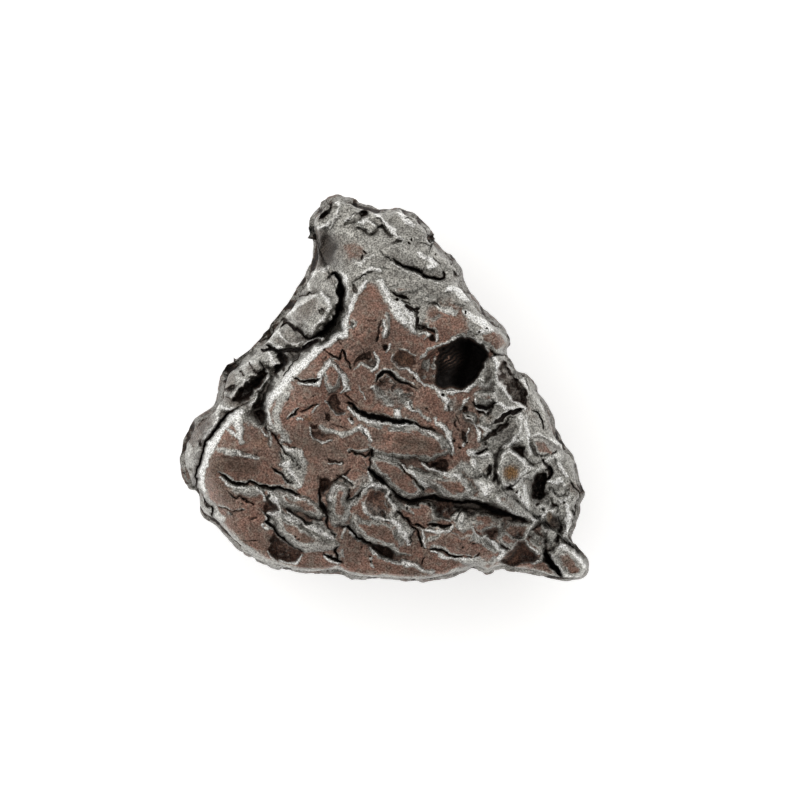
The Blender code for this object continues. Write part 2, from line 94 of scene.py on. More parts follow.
# ------------------------------------------------------------------------------------------------------------
# Strokes of the front face, all in drawing units.
# Cuts: path of (u, v, half width), depth, then the bevel on the left and on the right of the path as
# (width, drop). Right is below when the path runs to the right.
# ------------------------------------------------------------------------------------------------------------
CUTS = [
    # narrow knobbed end
    ([(350, 219, 1.0), (355, 213, 1.5)], 5, (2, 1), (2, 1)),
    ([(345, 225, 0.7), (352, 224, 1.2), (359, 221, 0.8)], 5, (2, 1), (2, 1)),
    ([(356, 228, 0.6), (363, 231, 1.1), (373, 233, 1.2), (377, 230, 0.8)], 5, (2, 0), (4, 2)),
    ([(377, 230, 0.8), (382, 228, 1.6), (387, 231, 1.4), (393, 236, 0.6)], 7, (3, 1), (3, 2)),
    ([(396, 236, 0.7), (403, 241, 1.2), (395, 244, 0.8)], 4, (2, 1), (2, 1)),
    ([(377, 220, 0.8), (380, 221, 1.6), (382, 224, 1.0)], 5, (2, 1), (2, 1)),
    ([(409, 209, 0.7), (416, 215, 1.4), (424, 222, 1.2), (427, 232, 0.8)], 7, (4, 2), (6, 4)),
    ([(404, 221, 0.9), (408, 220, 2.0), (411, 221, 1.0)], 4, (2, 1), (2, 1)),
    ([(381, 251, 0.4), (387, 256, 1.0), (393, 261, 0.6)], 5, (3, 1), (4, 2)),
    ([(394, 259, 0.8), (400, 264, 1.8), (410, 268, 2.2), (417, 270, 2.5), (422, 273, 2.6), (427, 277, 2.3),
      (434, 279, 2.0), (441, 279, 1.6), (445, 277, 1.2), (443, 272, 0.6)], 14, (5, 3), (6, 3)),
    ([(433, 258, 0.5), (437, 261, 0.9), (440, 265, 0.6)], 4, (2, 1), (2, 1)),
    ([(353, 283, 0.6), (362, 276, 1.4), (367, 274, 1.5), (375, 273, 0.6)], 7, (3, 1), (4, 3)),
    ([(384, 269, 0.4), (390, 270.5, 0.6)], 3, (1, 0), (1, 0)),
    ([(443, 246, 0.5), (449, 256, 1.2), (452, 266, 0.8)], 5, (3, 2), (4, 2)),
    ([(418, 244, 0.5), (428, 247, 1.0), (437, 249, 0.6)], 3, (4, 2), (4, 1)),
    # the deep furrow between the left flank and the upper plateau
    ([(328, 279, 0.6), (332, 276, 1.0), (336, 276, 1.6), (339, 281, 2.4), (341, 289, 3.4), (341, 301, 3.6),
      (338, 312, 3.0), (333, 322, 2.2), (322, 331, 1.5), (311, 339, 0.9)], 26, (12, 12), (5, 4)),
    # upper plateau
    ([(390, 292, 0.5), (397, 293, 1.3), (401, 296, 1.8), (405, 297.5, 1.4), (409, 300, 0.5)], 9, (2, 0), (4, 3)),
    ([(399, 300, 0.7), (405, 303, 1.5), (412, 306, 0.8)], 7, (2, 1), (3, 2)),
    ([(405, 308, 0.8), (411, 311, 1.7), (416, 313, 0.8)], 7, (2, 1), (3, 2)),
    ([(415, 311, 0.8), (416, 320, 1.3), (419, 326, 0.8)], 7, (2, 1), (2, 1)),
    ([(425, 325, 0.8), (430, 330, 1.2), (434, 334, 0.6)], 7, (3, 1), (3, 2)),
    ([(430, 304, 0.5), (436, 304, 1.2), (441, 307, 0.6)], 6, (3, 1), (4, 2)),
    ([(366, 319, 0.3), (371, 321, 0.8), (375, 322, 0.5)], 4, (2, 0), (3, 1)),
    ([(380, 323, 0.5), (379, 331, 1.0), (377, 339, 1.5)], 6, (3, 1), (3, 2)),
    ([(338, 339, 0.4), (340, 342, 0.8), (343, 345, 0.4)], 4, (2, 1), (2, 1)),
    ([(490, 350, 0.8), (496, 354.5, 1.8), (502, 356, 2.0), (508, 354, 1.6)], 9, (5, 3), (3, 1)),
    # left flank
    ([(296, 295, 0.8), (301, 296, 1.5), (307, 297.5, 1.9), (310, 294, 1.6), (312, 296, 1.2), (316, 293, 0.6)], 8,
     (3, 2), (3, 2)),
    ([(281, 325, 1.0), (286, 323, 1.9), (292, 328, 2.1), (300, 331, 1.9), (305, 336, 1.5), (308, 341, 0.8)], 11,
     (4, 3), (3, 2)),
    ([(266, 346, 1.0), (272, 349, 1.7), (280, 351, 2.0), (290, 349, 1.7), (300, 348, 1.5), (305, 348, 1.0)], 11,
     (4, 3), (3, 2)),
    ([(305, 348, 0.9), (312, 346, 1.8), (320, 344, 1.0)], 9, (3, 2), (3, 2)),
    ([(271, 327, 1.0), (279, 319, 1.6), (287, 312, 1.0)], 7, (3, 2), (4, 3)),
    ([(259, 341, 0.8), (265, 334, 1.6), (271, 329, 1.0)], 7, (3, 2), (4, 3)),
    ([(280, 350, 1.2), (284, 357, 2.6), (286, 364, 2.4), (285, 372, 1.2)], 13, (3, 2), (3, 2)),
    ([(224, 415, 0.8), (230, 412, 2.0), (237, 408, 0.8)], 8, (3, 2), (3, 2)),
    ([(300, 353, 0.7), (294, 361, 1.4), (291, 370, 1.3), (284, 378, 0.9)], 7, (4, 3), (3, 2)),
    ([(262, 361, 0.7), (266, 370, 1.4), (262, 378, 0.9)], 7, (2, 1), (3, 2)),
    # between the slab and the lower left lobe
    ([(238, 408, 1.0), (230, 413, 1.6), (221, 420, 2.0), (212, 432, 2.6), (206, 447, 2.4), (200, 462, 2.0),
      (196, 476, 1.3), (195, 489, 1.0)], 9, (11, 9), (6, 3)),
    ([(198, 494, 0.6), (203, 498, 1.1), (208, 503, 1.7), (212, 507, 1.7), (213, 514, 0.9), (216, 523, 0.6)], 10,
     (6, 4), (3, 2)),
    ([(184, 470, 0.6), (188, 476, 1.2), (191, 484, 0.8)], 3, (4, 2), (4, 2)),
    # lower left lobe
    ([(206, 462, 0.6), (225, 457, 1.0), (245, 459, 1.0), (262, 456, 0.6)], 1.2, (4, 1), (5, 1.5)),
    ([(266, 427, 0.8), (272, 432, 1.2), (278, 440, 1.5), (283, 448, 1.5), (288, 453, 1.3), (295, 458, 0.7)], 8,
     (4, 2), (3, 2)),
    ([(279, 441, 0.5), (288, 444, 0.9), (296, 448, 0.5)], 5, (2, 1), (2, 1)),
    ([(280, 452, 0.7), (282, 456, 1.2), (284, 461, 0.7)], 5, (2, 1), (2, 1)),
    ([(288, 455, 0.6), (292, 458, 1.1), (296, 462, 0.6)], 5, (2, 1), (2, 1)),
    ([(298, 457, 0.5), (299, 462, 1.0), (299, 467, 0.5)], 4, (2, 1), (2, 1)),
    ([(273, 469, 0.8), (279, 472, 2.1), (284, 477, 2.3), (291, 481, 1.0)], 9, (3, 2), (3, 2)),
    ([(289, 473, 0.4), (294, 478, 0.9), (299, 484, 0.5)], 4, (2, 1), (2, 1)),
    ([(220, 471, 0.5), (226, 476, 1.1), (233, 480, 1.5), (241, 481, 1.4), (250, 482.5, 1.1), (260, 484.5, 1.0),
      (275, 487, 1.6), (289, 489, 2.0), (296, 491.5, 1.6), (301, 494, 0.6)], 10, (3, 2), (8, 5)),
    ([(229, 491, 0.4), (236, 495.5, 1.0), (243, 499, 1.2), (249, 501.5, 1.2), (255, 505, 0.6)], 7, (5, 2), (3, 1)),
    ([(219, 507, 0.6), (226, 508, 1.2), (235, 509, 1.3), (245, 508.5, 0.7)], 6, (2, 1), (4, 2)),
    ([(251, 518.5, 0.7), (254, 517.5, 1.2), (257, 515.5, 0.5)], 4, (1, 1), (2, 1)),
    ([(240, 538.2, 0.3), (250, 539, 0.7), (256, 539, 1.3), (258, 539, 0.7)], 4, (3, 1), (3, 1)),
    ([(264, 511, 1.0), (268, 517, 1.4), (266, 521, 1.2), (270, 525, 2.0), (274, 529.5, 2.0), (281, 535, 1.6),
      (290, 542, 1.3), (301, 551, 0.8)], 10, (6, 5), (2, 1)),
    ([(270, 503, 1.0), (274, 506, 1.6), (277, 510, 1.2)], 6, (3, 2), (2, 1)),
    # lobes D, E and what lies between them
    ([(272, 490, 0.7), (268, 497, 1.6), (273, 504, 1.8), (278, 510, 1.0)], 5, (3, 2), (3, 2)),
    ([(287, 507.5, 0.4), (293, 512, 1.2), (299, 516.5, 1.8), (306, 519, 1.6), (312, 521, 0.7)], 8, (3, 1), (4, 3)),
    ([(304, 510.5, 0.4), (310, 515, 1.1), (317, 519, 1.5), (322, 518.5, 0.8)], 6, (2, 1), (3, 2)),
    ([(321.5, 477, 0.7), (321, 490, 1.4), (321, 499, 1.7), (323, 506, 2.4), (326, 514, 1.6), (328, 522, 1.1),
      (331, 530, 0.9), (335, 537, 0.5)], 11, (5, 3), (3, 2)),
    ([(337.5, 545, 0.8), (335, 550, 2.0), (336.5, 555, 2.0), (341.5, 561, 1.0)], 11, (3, 2), (3, 2)),
    ([(324, 552.5, 0.5), (331, 555.5, 1.4), (338, 558.5, 1.3)], 9, (2, 1), (4, 3)),
    ([(351, 488, 0.9), (350.5, 494, 2.0), (348.5, 500, 1.2)], 9, (2, 1), (3, 2)),
    ([(337, 475, 0.6), (345, 477, 1.1), (350, 480.5, 1.2), (354, 484.5, 0.5)], 7, (3, 2), (3, 2)),
    ([(350, 499, 0.7), (360, 491.5, 1.2), (370, 484.5, 0.6)], 7, (2, 1), (5, 3)),
    ([(342, 526, 0.6), (350, 527, 1.5), (355, 531.5, 2.1), (358, 537, 2.4), (363, 538, 2.2), (369, 541, 1.7)], 10,
     (4, 2), (4, 4)),
    ([(421, 562.5, 0.9), (422, 558, 1.6), (424, 555, 1.4)], 7, (2, 1), (3, 2)),
    ([(391, 556, 0.6), (392, 552, 1.2), (390, 547, 0.8)], 5, (2, 1), (2, 1)),
    ([(382, 556, 0.5), (381, 551, 1.2), (379, 547, 0.7)], 5, (2, 1), (2, 1)),
    # centre plateau
    ([(325, 351, 0.5), (331, 357, 1.2), (340, 359, 1.4), (344, 352, 1.2), (347, 360, 1.4), (350, 369, 0.8)], 7,
     (3, 2), (3, 2)),
    ([(294, 377, 0.6), (300, 380, 1.6), (310, 380.5, 2.0), (316, 383, 1.7), (321, 380, 0.6)], 8, (4, 2), (4, 3)),
    ([(288, 418.5, 0.5), (294, 414, 2.0), (300.5, 407.5, 0.6)], 9, (3, 1), (4, 3)),
    ([(301, 411.5, 0.6), (310, 407, 1.8), (319, 405.5, 0.6)], 8, (3, 1), (4, 3)),
    ([(333, 424.5, 0.5), (337, 426, 1.1), (342, 428.5, 0.6)], 5, (2, 1), (2, 1)),
    ([(344, 427.5, 0.5), (348.5, 430.5, 0.8)], 4, (2, 1), (2, 1)),
    ([(364, 430.5, 0.5), (366, 435, 1.1), (369.5, 439, 0.5)], 5, (2, 1), (2, 1)),
    ([(348, 387, 0.5), (344, 392.5, 0.9)], 4, (2, 1), (2, 1)),
    ([(347, 394, 0.6), (351, 400, 1.2), (357, 404, 0.6)], 5, (2, 1), (3, 2)),
    ([(375, 382, 0.9), (378, 375.5, 1.8), (383, 372, 2.3), (391, 373, 2.3), (400, 381, 1.8), (409, 386, 1.2),
      (418, 391, 0.6)], 10, (4, 2), (5, 3)),
    ([(349, 403, 1.0), (354, 407, 2.2), (360, 412, 3.2), (367, 415.5, 3.9), (375, 417.5, 4.4), (385, 419, 4.5),
      (395, 420.5, 3.8), (405, 422, 2.6), (415, 424, 1.8), (425, 427, 1.5), (436, 431, 0.8)], 15, (4, 2), (5, 4)),
    ([(411, 401.5, 0.5), (412, 407, 1.1), (418, 409.5, 0.5)], 5, (2, 1), (2, 1)),
    ([(425, 409, 0.5), (428, 411.5, 0.7)], 3, (1, 1), (1, 1)),
    ([(448.5, 439, 0.5), (449.5, 447, 1.1), (450, 456, 0.6)], 6, (4, 2), (3, 2)),
    ([(420, 461.5, 0.5), (429, 463, 1.3), (434, 463, 1.0)], 6, (2, 1), (3, 2)),
    ([(327, 459, 0.5), (336, 459, 1.3), (344, 461.5, 0.6)], 6, (2, 1), (3, 2)),
    ([(331, 481, 0.6), (337, 478, 1.1), (345, 474, 1.2), (351, 468.5, 0.6)], 6, (3, 2), (3, 2)),
    ([(351, 452.5, 0.5), (357, 454.5, 1.2), (365, 456, 1.4), (370.5, 451, 0.8)], 7, (3, 2), (3, 2)),
    ([(370, 452, 0.8), (371, 461, 1.4), (371, 468, 1.8)], 7, (4, 3), (3, 2)),
    ([(400, 463, 0.5), (405, 470, 1.2), (410, 476, 1.3), (417, 482, 1.3), (424, 488.5, 1.8)], 8, (2, 1), (3, 2)),
    ([(463, 473, 0.4), (465, 482, 0.9), (468.5, 492, 0.5)], 3, (3, 2), (2, 1)),
    # the long scarp
    ([(370, 468, 2.0), (376, 475.5, 2.7), (383, 481, 1.7), (389, 486, 1.4), (396, 491, 1.8), (403, 496, 2.3),
      (409, 499.5, 2.4), (420, 498.5, 2.2), (433, 497.5, 2.4), (444, 499, 3.2), (455, 501, 2.8), (466, 501.5, 2.2),
      (474, 502, 2.4), (482, 505, 3.6), (490, 508, 4.6), (498, 511, 4.4), (506, 514.5, 3.2), (514, 517.5, 2.0),
      (526, 519, 1.0)], 20, (6, 6), (4, 2)),
    ([(426, 521.5, 0.6), (434, 523.5, 2.2), (442, 526, 3.0), (451, 526.5, 1.6)], 10, (2, 1), (4, 3)),
    ([(396, 509, 0.7), (402, 514.5, 1.5), (408, 518, 1.4), (413, 524, 1.7), (417, 530, 1.9), (420, 536, 1.9),
      (422, 544, 0.9)], 10, (3, 2), (3, 2)),
    ([(412, 521, 0.8), (418, 522.5, 2.4), (424, 525, 1.2)], 9, (2, 1), (3, 2)),
    ([(414, 531, 0.5), (411, 538, 0.9), (407.5, 544, 0.5)], 5, (3, 2), (2, 1)),
    ([(430, 549, 0.5), (436, 549.5, 1.8), (442, 551, 1.6), (448, 553, 1.8), (455, 554.5, 1.5), (462, 554, 0.6)], 9,
     (3, 2), (4, 3)),
    ([(465, 555, 0.5), (468, 555.3, 1.2), (471, 555, 0.5)], 5, (1, 1), (2, 1)),
    ([(473, 556.5, 0.7), (476, 555, 1.8), (478.5, 553, 0.7)], 5, (1, 1), (3, 2)),
    ([(443, 502, 0.9), (441, 508, 1.3), (436.5, 515, 0.6)], 7, (3, 2), (2, 1)),
    ([(446, 500, 1.4), (448.5, 508, 1.6), (446.5, 513, 0.9)], 7, (2, 1), (2, 1)),
    ([(464, 508, 0.7), (459, 515, 1.1), (454.5, 521, 0.6)], 6, (3, 2), (2, 1)),
    ([(463, 507, 0.8), (456, 511, 1.2), (450, 513, 1.0)], 6, (2, 1), (2, 1)),
    ([(450, 505, 1.0), (462, 507.5, 1.6), (474, 509, 1.2)], 5, (2, 0), (3, 1)),
    # right part
    ([(454.5, 416, 0.5), (457, 420, 1.1), (459.5, 425, 0.5)], 5, (2, 1), (2, 1)),
    ([(471, 401.5, 0.8), (479, 406, 2.4), (488, 406.5, 2.4), (497, 403, 0.9)], 10, (3, 2), (3, 2)),
    ([(477, 410.5, 0.8), (481, 412, 1.9), (485, 413, 0.8)], 6, (2, 1), (2, 1)),
    ([(490, 426, 0.6), (497, 420, 1.6), (505, 415.5, 1.9), (512, 411.5, 1.5), (523, 409, 0.7)], 10, (3, 2), (3, 2)),
    ([(499, 427, 0.5), (506, 420.5, 1.1), (516, 416, 0.6)], 6, (2, 1), (2, 1)),
    ([(481, 442, 1.0), (488, 434, 1.6), (496, 429, 1.7), (505, 421.5, 0.9)], 9, (3, 2), (2, 0)),
    ([(476.5, 453.5, 0.8), (483, 449.5, 1.4), (489, 448, 0.7)], 7, (2, 1), (3, 2)),
    ([(523, 380, 0.6), (525.5, 386, 1.2), (527, 391.5, 0.6)], 6, (3, 2), (2, 1)),
    ([(531, 410, 0.7), (537, 414, 1.5), (540.5, 420, 1.6), (543.5, 428, 0.7)], 8, (3, 2), (3, 2)),
    ([(500, 449, 0.7), (495.5, 456, 1.2), (493.5, 466, 1.4), (494, 475, 1.2), (497, 483, 0.6)], 3.5, (5, 3), (4, 2)),
    ([(519, 451, 0.6), (527, 457, 1.1), (531.5, 465, 0.8)], 3.5, (3, 2), (5, 3)),
    ([(475, 477.5, 0.8), (480, 477.5, 1.2), (486, 474, 1.3), (489.5, 469, 1.8), (490, 464.5, 1.0)], 8, (2, 1), (3, 2)),
    ([(488, 474, 0.7), (489, 479, 1.2), (492, 482, 1.2), (494.5, 478, 0.8)], 5, (2, 1), (2, 1)),
    ([(507.5, 488, 1.6), (510, 487.5, 2.0), (513, 484, 1.0), (521, 478.5, 0.8), (531, 471, 0.6)], 8, (3, 2), (3, 2)),
    ([(543, 470, 1.0), (548, 467, 2.8), (551, 472, 2.9), (548, 480, 1.5)], 15, (3, 2), (3, 2)),
    ([(559, 517, 1.4), (560.5, 526, 2.0), (558.5, 535, 2.0), (555.5, 542, 1.2)], 10, (4, 3), (3, 2)),
    ([(572, 510, 0.8), (572.5, 524, 1.6), (571.5, 537, 1.6), (577, 547, 0.8)], 8, (3, 2), (4, 3)),
    ([(548.5, 524, 1.2), (550.5, 529, 1.6), (557.5, 532.5, 1.0)], 8, (2, 1), (2, 1)),
    ([(535.5, 527.5, 0.9), (540.5, 524, 1.6), (546, 520.5, 0.9)], 7, (2, 1), (2, 1)),
    ([(534, 531, 0.6), (538, 531.5, 1.2), (541, 535, 0.6)], 4, (2, 1), (2, 1)),
    ([(497, 531, 0.6), (500, 527, 1.5), (503, 521.5, 0.6)], 7, (2, 1), (2, 1)),
    ([(512.5, 537, 0.4), (517, 537.5, 0.9), (521.5, 538.5, 0.6)], 4, (2, 1), (2, 1)),
    ([(500.5, 544, 0.7), (504, 547, 1.2), (508, 549.5, 0.6)], 5, (2, 1), (3, 2)),
    ([(544.5, 548, 1.2), (546.5, 556, 3.0), (550, 562.5, 3.6), (554, 567.5, 3.8), (557.5, 572, 2.8),
      (560, 577.5, 1.0)], 22, (4, 3), (3, 3)),
    ([(545.5, 549.5, 0.8), (550.5, 548.5, 1.1), (556.5, 545, 0.6)], 6, (3, 2), (2, 1)),
    ([(543.5, 540, 0.5), (545, 545, 1.2), (546, 549, 1.2)], 6, (3, 2), (2, 1)),
    ([(566, 541, 0.8), (572, 546, 1.4), (581, 553, 0.8)], 7, (3, 2), (4, 3)),
    ([(553, 489, 0.6), (556, 496, 1.0), (562, 494, 1.0), (570, 490, 0.5)], 5, (2, 1), (2, 1)),
    ([(551, 505, 0.6), (556, 506, 1.2), (558.5, 512, 0.6)], 5, (2, 1), (2, 1)),
    ([(571, 481, 0.7), (573, 486, 1.6), (578, 493, 1.2), (580, 499, 0.6)], 6, (3, 2), (3, 2)),
]

# Pits: outline polygon, depth, width of the wall, roughness of the floor, brownness of the floor 0..1
PITS = [
    ([(316, 221), (319, 215), (323, 211), (328, 208), (327, 202), (333, 200.5), (335, 204), (331, 211), (325, 218)],
     15, 3, 1.0, 0.2),
    ([(358, 214), (362, 210.5), (369, 209.5), (368, 217), (361, 220)], 13, 2.5, 1.0, 0.1),
    ([(449, 272), (454, 273), (461, 281), (455, 279)], 8, 2, 0.6, 0.1),
    ([(353, 283), (351, 292), (357, 297), (358, 289)], 7, 2, 0.6, 0.2),
    ([(418, 323), (427, 324.5), (427, 330), (420, 330)], 8, 2, 0.6, 0.1),
    ([(317, 309), (326, 310.5), (325, 317), (319, 316)], 6, 2, 0.5, 0.2),
    ([(281, 330), (290, 327), (300, 333), (305, 341), (295, 344), (286, 341)], 5, 5, 0.8, 0.2),
    ([(246, 365), (251, 363), (254, 368), (249, 371)], 6, 2, 0.5, 0.1),
    ([(253, 370), (258, 368), (259, 373), (255, 375)], 6, 2, 0.5, 0.1),
    ([(221, 397), (232, 398), (240, 388), (252, 382), (263, 373), (269, 372), (263, 385), (255, 392), (249, 401),
      (240, 403)], 26, 5, 2.5, 0.25),
    ([(222, 386.5), (235, 384.5), (236.5, 391), (224, 394)], 10, 2.5, 0.8, 0.2),
    ([(251, 403), (264, 402.5), (262, 409), (254, 409)], 9, 2, 0.8, 0.1),
    ([(254, 411), (267, 410), (263, 424), (259, 420)], 10, 2.5, 0.8, 0.2),
    ([(188, 440), (190, 431), (197, 421), (206, 414), (214, 412.5), (212, 421), (206, 430), (203, 440), (196, 448)],
     10, 5, 1.4, 0.3),
    ([(189, 467), (195, 467), (194, 474), (190, 474)], 6, 2, 0.8, 0.1),
    ([(240, 451), (250.5, 450.5), (249.5, 455.5), (242.5, 456)], 3.5, 2, 0.6, 0.4),
    ([(253, 453), (258.5, 453), (258, 458.5), (254, 458)], 3.5, 2, 0.5, 0.4),
    ([(274.5, 531), (289, 542), (300.5, 551), (300.5, 556), (297, 560), (290, 560), (284, 558), (276, 557.5),
      (267.5, 548), (272, 541), (271, 537)], 14, 4, 4.0, 0.75),
    ([(265.5, 500), (271, 497.5), (275, 503), (278.5, 509.5), (275, 511.5), (268, 510.5), (264, 512.5)], 8, 2.5,
     1.5, 0.85),
    ([(204, 500), (209.5, 502), (212.5, 507.5), (207.5, 507.5), (204.5, 505)], 9, 2, 0.6, 0.1),
    ([(229, 509), (237, 509.5), (235, 515.5), (229, 513.5)], 4.5, 2, 1.0, 0.2),
    ([(321.5, 477.5), (328, 476.5), (333.5, 483), (330.5, 489), (325, 494.5), (321.5, 491)], 13, 3, 2.5, 0.5),
    ([(321, 503), (325, 504.5), (328.5, 511.5), (323.5, 512)], 10, 2, 0.5, 0.0),
    ([(357, 531), (362, 531), (367, 538), (360, 540)], 6, 2, 1.2, 0.3),
    ([(368.5, 540), (378, 541), (388, 545.5), (392.5, 549), (394.5, 557), (390, 559), (383, 557.5), (376, 552.5),
      (370.5, 547)], 14, 3.5, 2.6, 0.35),
    ([(320, 362.5), (326, 355.5), (326.5, 361)], 5, 2, 0.4, 0.2),
    ([(362, 351.5), (372.5, 350.5), (371.5, 357.5), (365, 361.5), (356, 364.5), (350, 369), (352, 363), (358, 357.5)],
     9, 3, 1.0, 0.3),
    ([(393, 357), (399, 352), (407, 351), (415, 356), (416, 363), (410, 368), (400, 369), (393, 364)], 7, 4, 1.0,
     0.9),
    ([(327, 401), (332, 396), (338, 394.5), (341.5, 400), (339, 405), (347, 410), (343, 415.5), (336, 415.5),
      (330, 408)], 10, 3, 1.0, 0.4),
    ([(323.5, 413.5), (330, 413.5), (330.5, 422.5), (325, 421.5)], 7, 2, 0.6, 0.2),
    ([(310.5, 423), (320, 423.5), (319, 428.5), (312, 428.5)], 7, 2, 0.6, 0.2),
    ([(310, 430), (322, 428.5), (335, 433), (332, 441), (320, 443), (311, 438)], 5.5, 5, 1.0, 0.5),
    ([(349.5, 415.5), (354.5, 415.5), (354.5, 422.5), (350, 421.5)], 7, 2, 0.6, 0.2),
    ([(377, 382), (383, 374), (392, 374.5), (402, 382.5), (416, 391), (409, 401), (392, 406), (378, 401),
      (373.5, 391)], 6, 9, 1.0, 0.0),
    ([(429, 463), (434, 459), (445, 458), (449.5, 463), (447.5, 470.5), (440, 471.5), (434, 468.5)], 14, 3.5, 1.0,
     0.3),
    ([(369.5, 500), (373.5, 497.5), (373.5, 504.5), (370, 505.5)], 7, 1.5, 0.4, 0.1),
    ([(372.5, 513), (376, 512), (377, 516.5), (373, 516.5)], 6, 1.5, 0.4, 0.1),
    ([(381, 512), (384, 508.5), (388.5, 515), (383, 517)], 7, 2, 0.4, 0.1),
    ([(365, 500), (370, 490), (378, 487), (385, 492), (387, 505), (385, 517), (374, 519), (366, 510)], 4.5, 7, 1.0,
     0.8),
    ([(438, 500), (450, 499), (454, 508), (448, 516), (438, 514), (436, 507)], 5, 4, 3.0, 0.6),
    ([(460.5, 406), (466.5, 408), (462, 411.5)], 6, 1.5, 0.4, 0.1),
    ([(461, 431), (468, 432.5), (466.5, 443.5), (461.5, 440.5)], 8, 2.5, 1.0, 0.2),
    ([(487, 406.5), (492.5, 406.5), (492.5, 414.5), (488, 412.5)], 8, 2, 0.5, 0.1),
    ([(480.5, 441), (487.5, 441.5), (487, 446.5), (483, 445.5)], 7, 2, 0.5, 0.1),
    ([(511.5, 447), (524.5, 444.5), (524.5, 456.5), (518, 452)], 12, 2.5, 0.8, 0.15),
    ([(500, 362.5), (505, 361.5), (510, 370), (517, 378), (521.5, 387), (526, 393), (528, 398), (526, 408),
      (520, 404.5), (512, 401.5), (508.5, 396), (504.5, 389), (500, 381), (497, 372)], 15, 4, 2.0, 0.35),
    ([(533, 475), (539, 472.5), (546, 472.5), (548.5, 479), (546.5, 487), (545, 495), (540, 500), (533, 500),
      (529.5, 494), (529.5, 484)], 28, 4, 7.0, 0.15),
    ([(551, 516), (557.5, 518.5), (560.5, 526), (555, 529.5), (550.5, 523)], 8, 2.5, 1.6, 0.6),
    ([(486.5, 529.5), (494, 528.5), (497.5, 533), (493, 537.5), (486.5, 536.5)], 8, 2.5, 2.5, 0.3),
    ([(514.5, 531), (519.5, 529.5), (521.5, 535.5), (516.5, 535.5)], 6, 2, 0.5, 0.3),
    ([(500.5, 558), (504.5, 552), (512, 546), (518, 541), (523.5, 541), (528.5, 548), (534, 553), (539, 558),
      (530, 561.5), (520, 564.5), (511, 567.5), (503, 563)], 12, 3.5, 2.2, 0.95),
]

# small round pits: u, v, radius, depth
DOTS = [
    (364, 254, 1.8, 5), (362, 259, 1.8, 5), (412, 240.5, 1.6, 4), (409, 244, 1.6, 4), (433, 254, 1.4, 4),
    (302, 285, 1.9, 5), (301, 291, 1.6, 5), (285, 321, 2.2, 6), (396, 298, 1.7, 6), (432, 339, 2.3, 7),
    (377, 340, 1.9, 6), (385.5, 347.5, 2.6, 7), (465, 314, 1.5, 4), (480, 334, 1.5, 4), (487, 328, 1.4, 4),
    (450, 408, 2.0, 5), (441, 394, 2.0, 5), (453, 439, 1.7, 5), (459, 448, 1.9, 5), (467, 415, 1.5, 4),
    (328, 568, 1.7, 3), (363, 546, 1.5, 3), (371, 555, 1.6, 4), (371, 559.5, 1.5, 4), (297, 534, 1.5, 3),
    (300.5, 536.5, 1.5, 3), (471, 541.5, 1.5, 4), (473.5, 543.5, 1.5, 4), (463, 546, 1.6, 4), (461, 542, 1.0, 3),
    (430, 504, 2.0, 4), (392, 495, 1.8, 4), (408, 508, 1.6, 4), (417, 503, 1.4, 4), (541, 510, 1.5, 5),
    (534, 514.5, 2.6, 6), (537, 504, 2.4, 6), (550, 490, 1.8, 5), (546, 502, 1.5, 4), (563, 503, 1.6, 4),
    (541.5, 457, 1.5, 4), (530, 536.5, 1.5, 4), (506, 516, 1.8, 5), (512, 517, 1.8, 5), (244, 502, 1.2, 2),
    (184, 474, 1.8, 4), (472, 569.5, 1.2, 2), (478, 532, 1.2, 3), (497, 516, 1.3, 3), (340, 420, 1.2, 3),
    (390, 395, 1.3, 3), (412, 378, 1.2, 3), (356, 500, 1.0, 2), (458, 430, 1.3, 3), (447, 421, 1.2, 3),
    (474, 428, 1.4, 3), (349, 446, 1.2, 3), (315, 398, 1.2, 3), (289, 398, 1.0, 2), (421, 541, 1.6, 4),
    (425, 546, 1.3, 3), (481, 473, 1.2, 3), (487, 455, 1.2, 3), (507, 497, 1.1, 2), (516, 491, 1.8, 4),
    (516, 499, 1.6, 4), (520, 495, 1.4, 3), (349, 221, 1.2, 3), (327, 488, 1.0, 2),
]

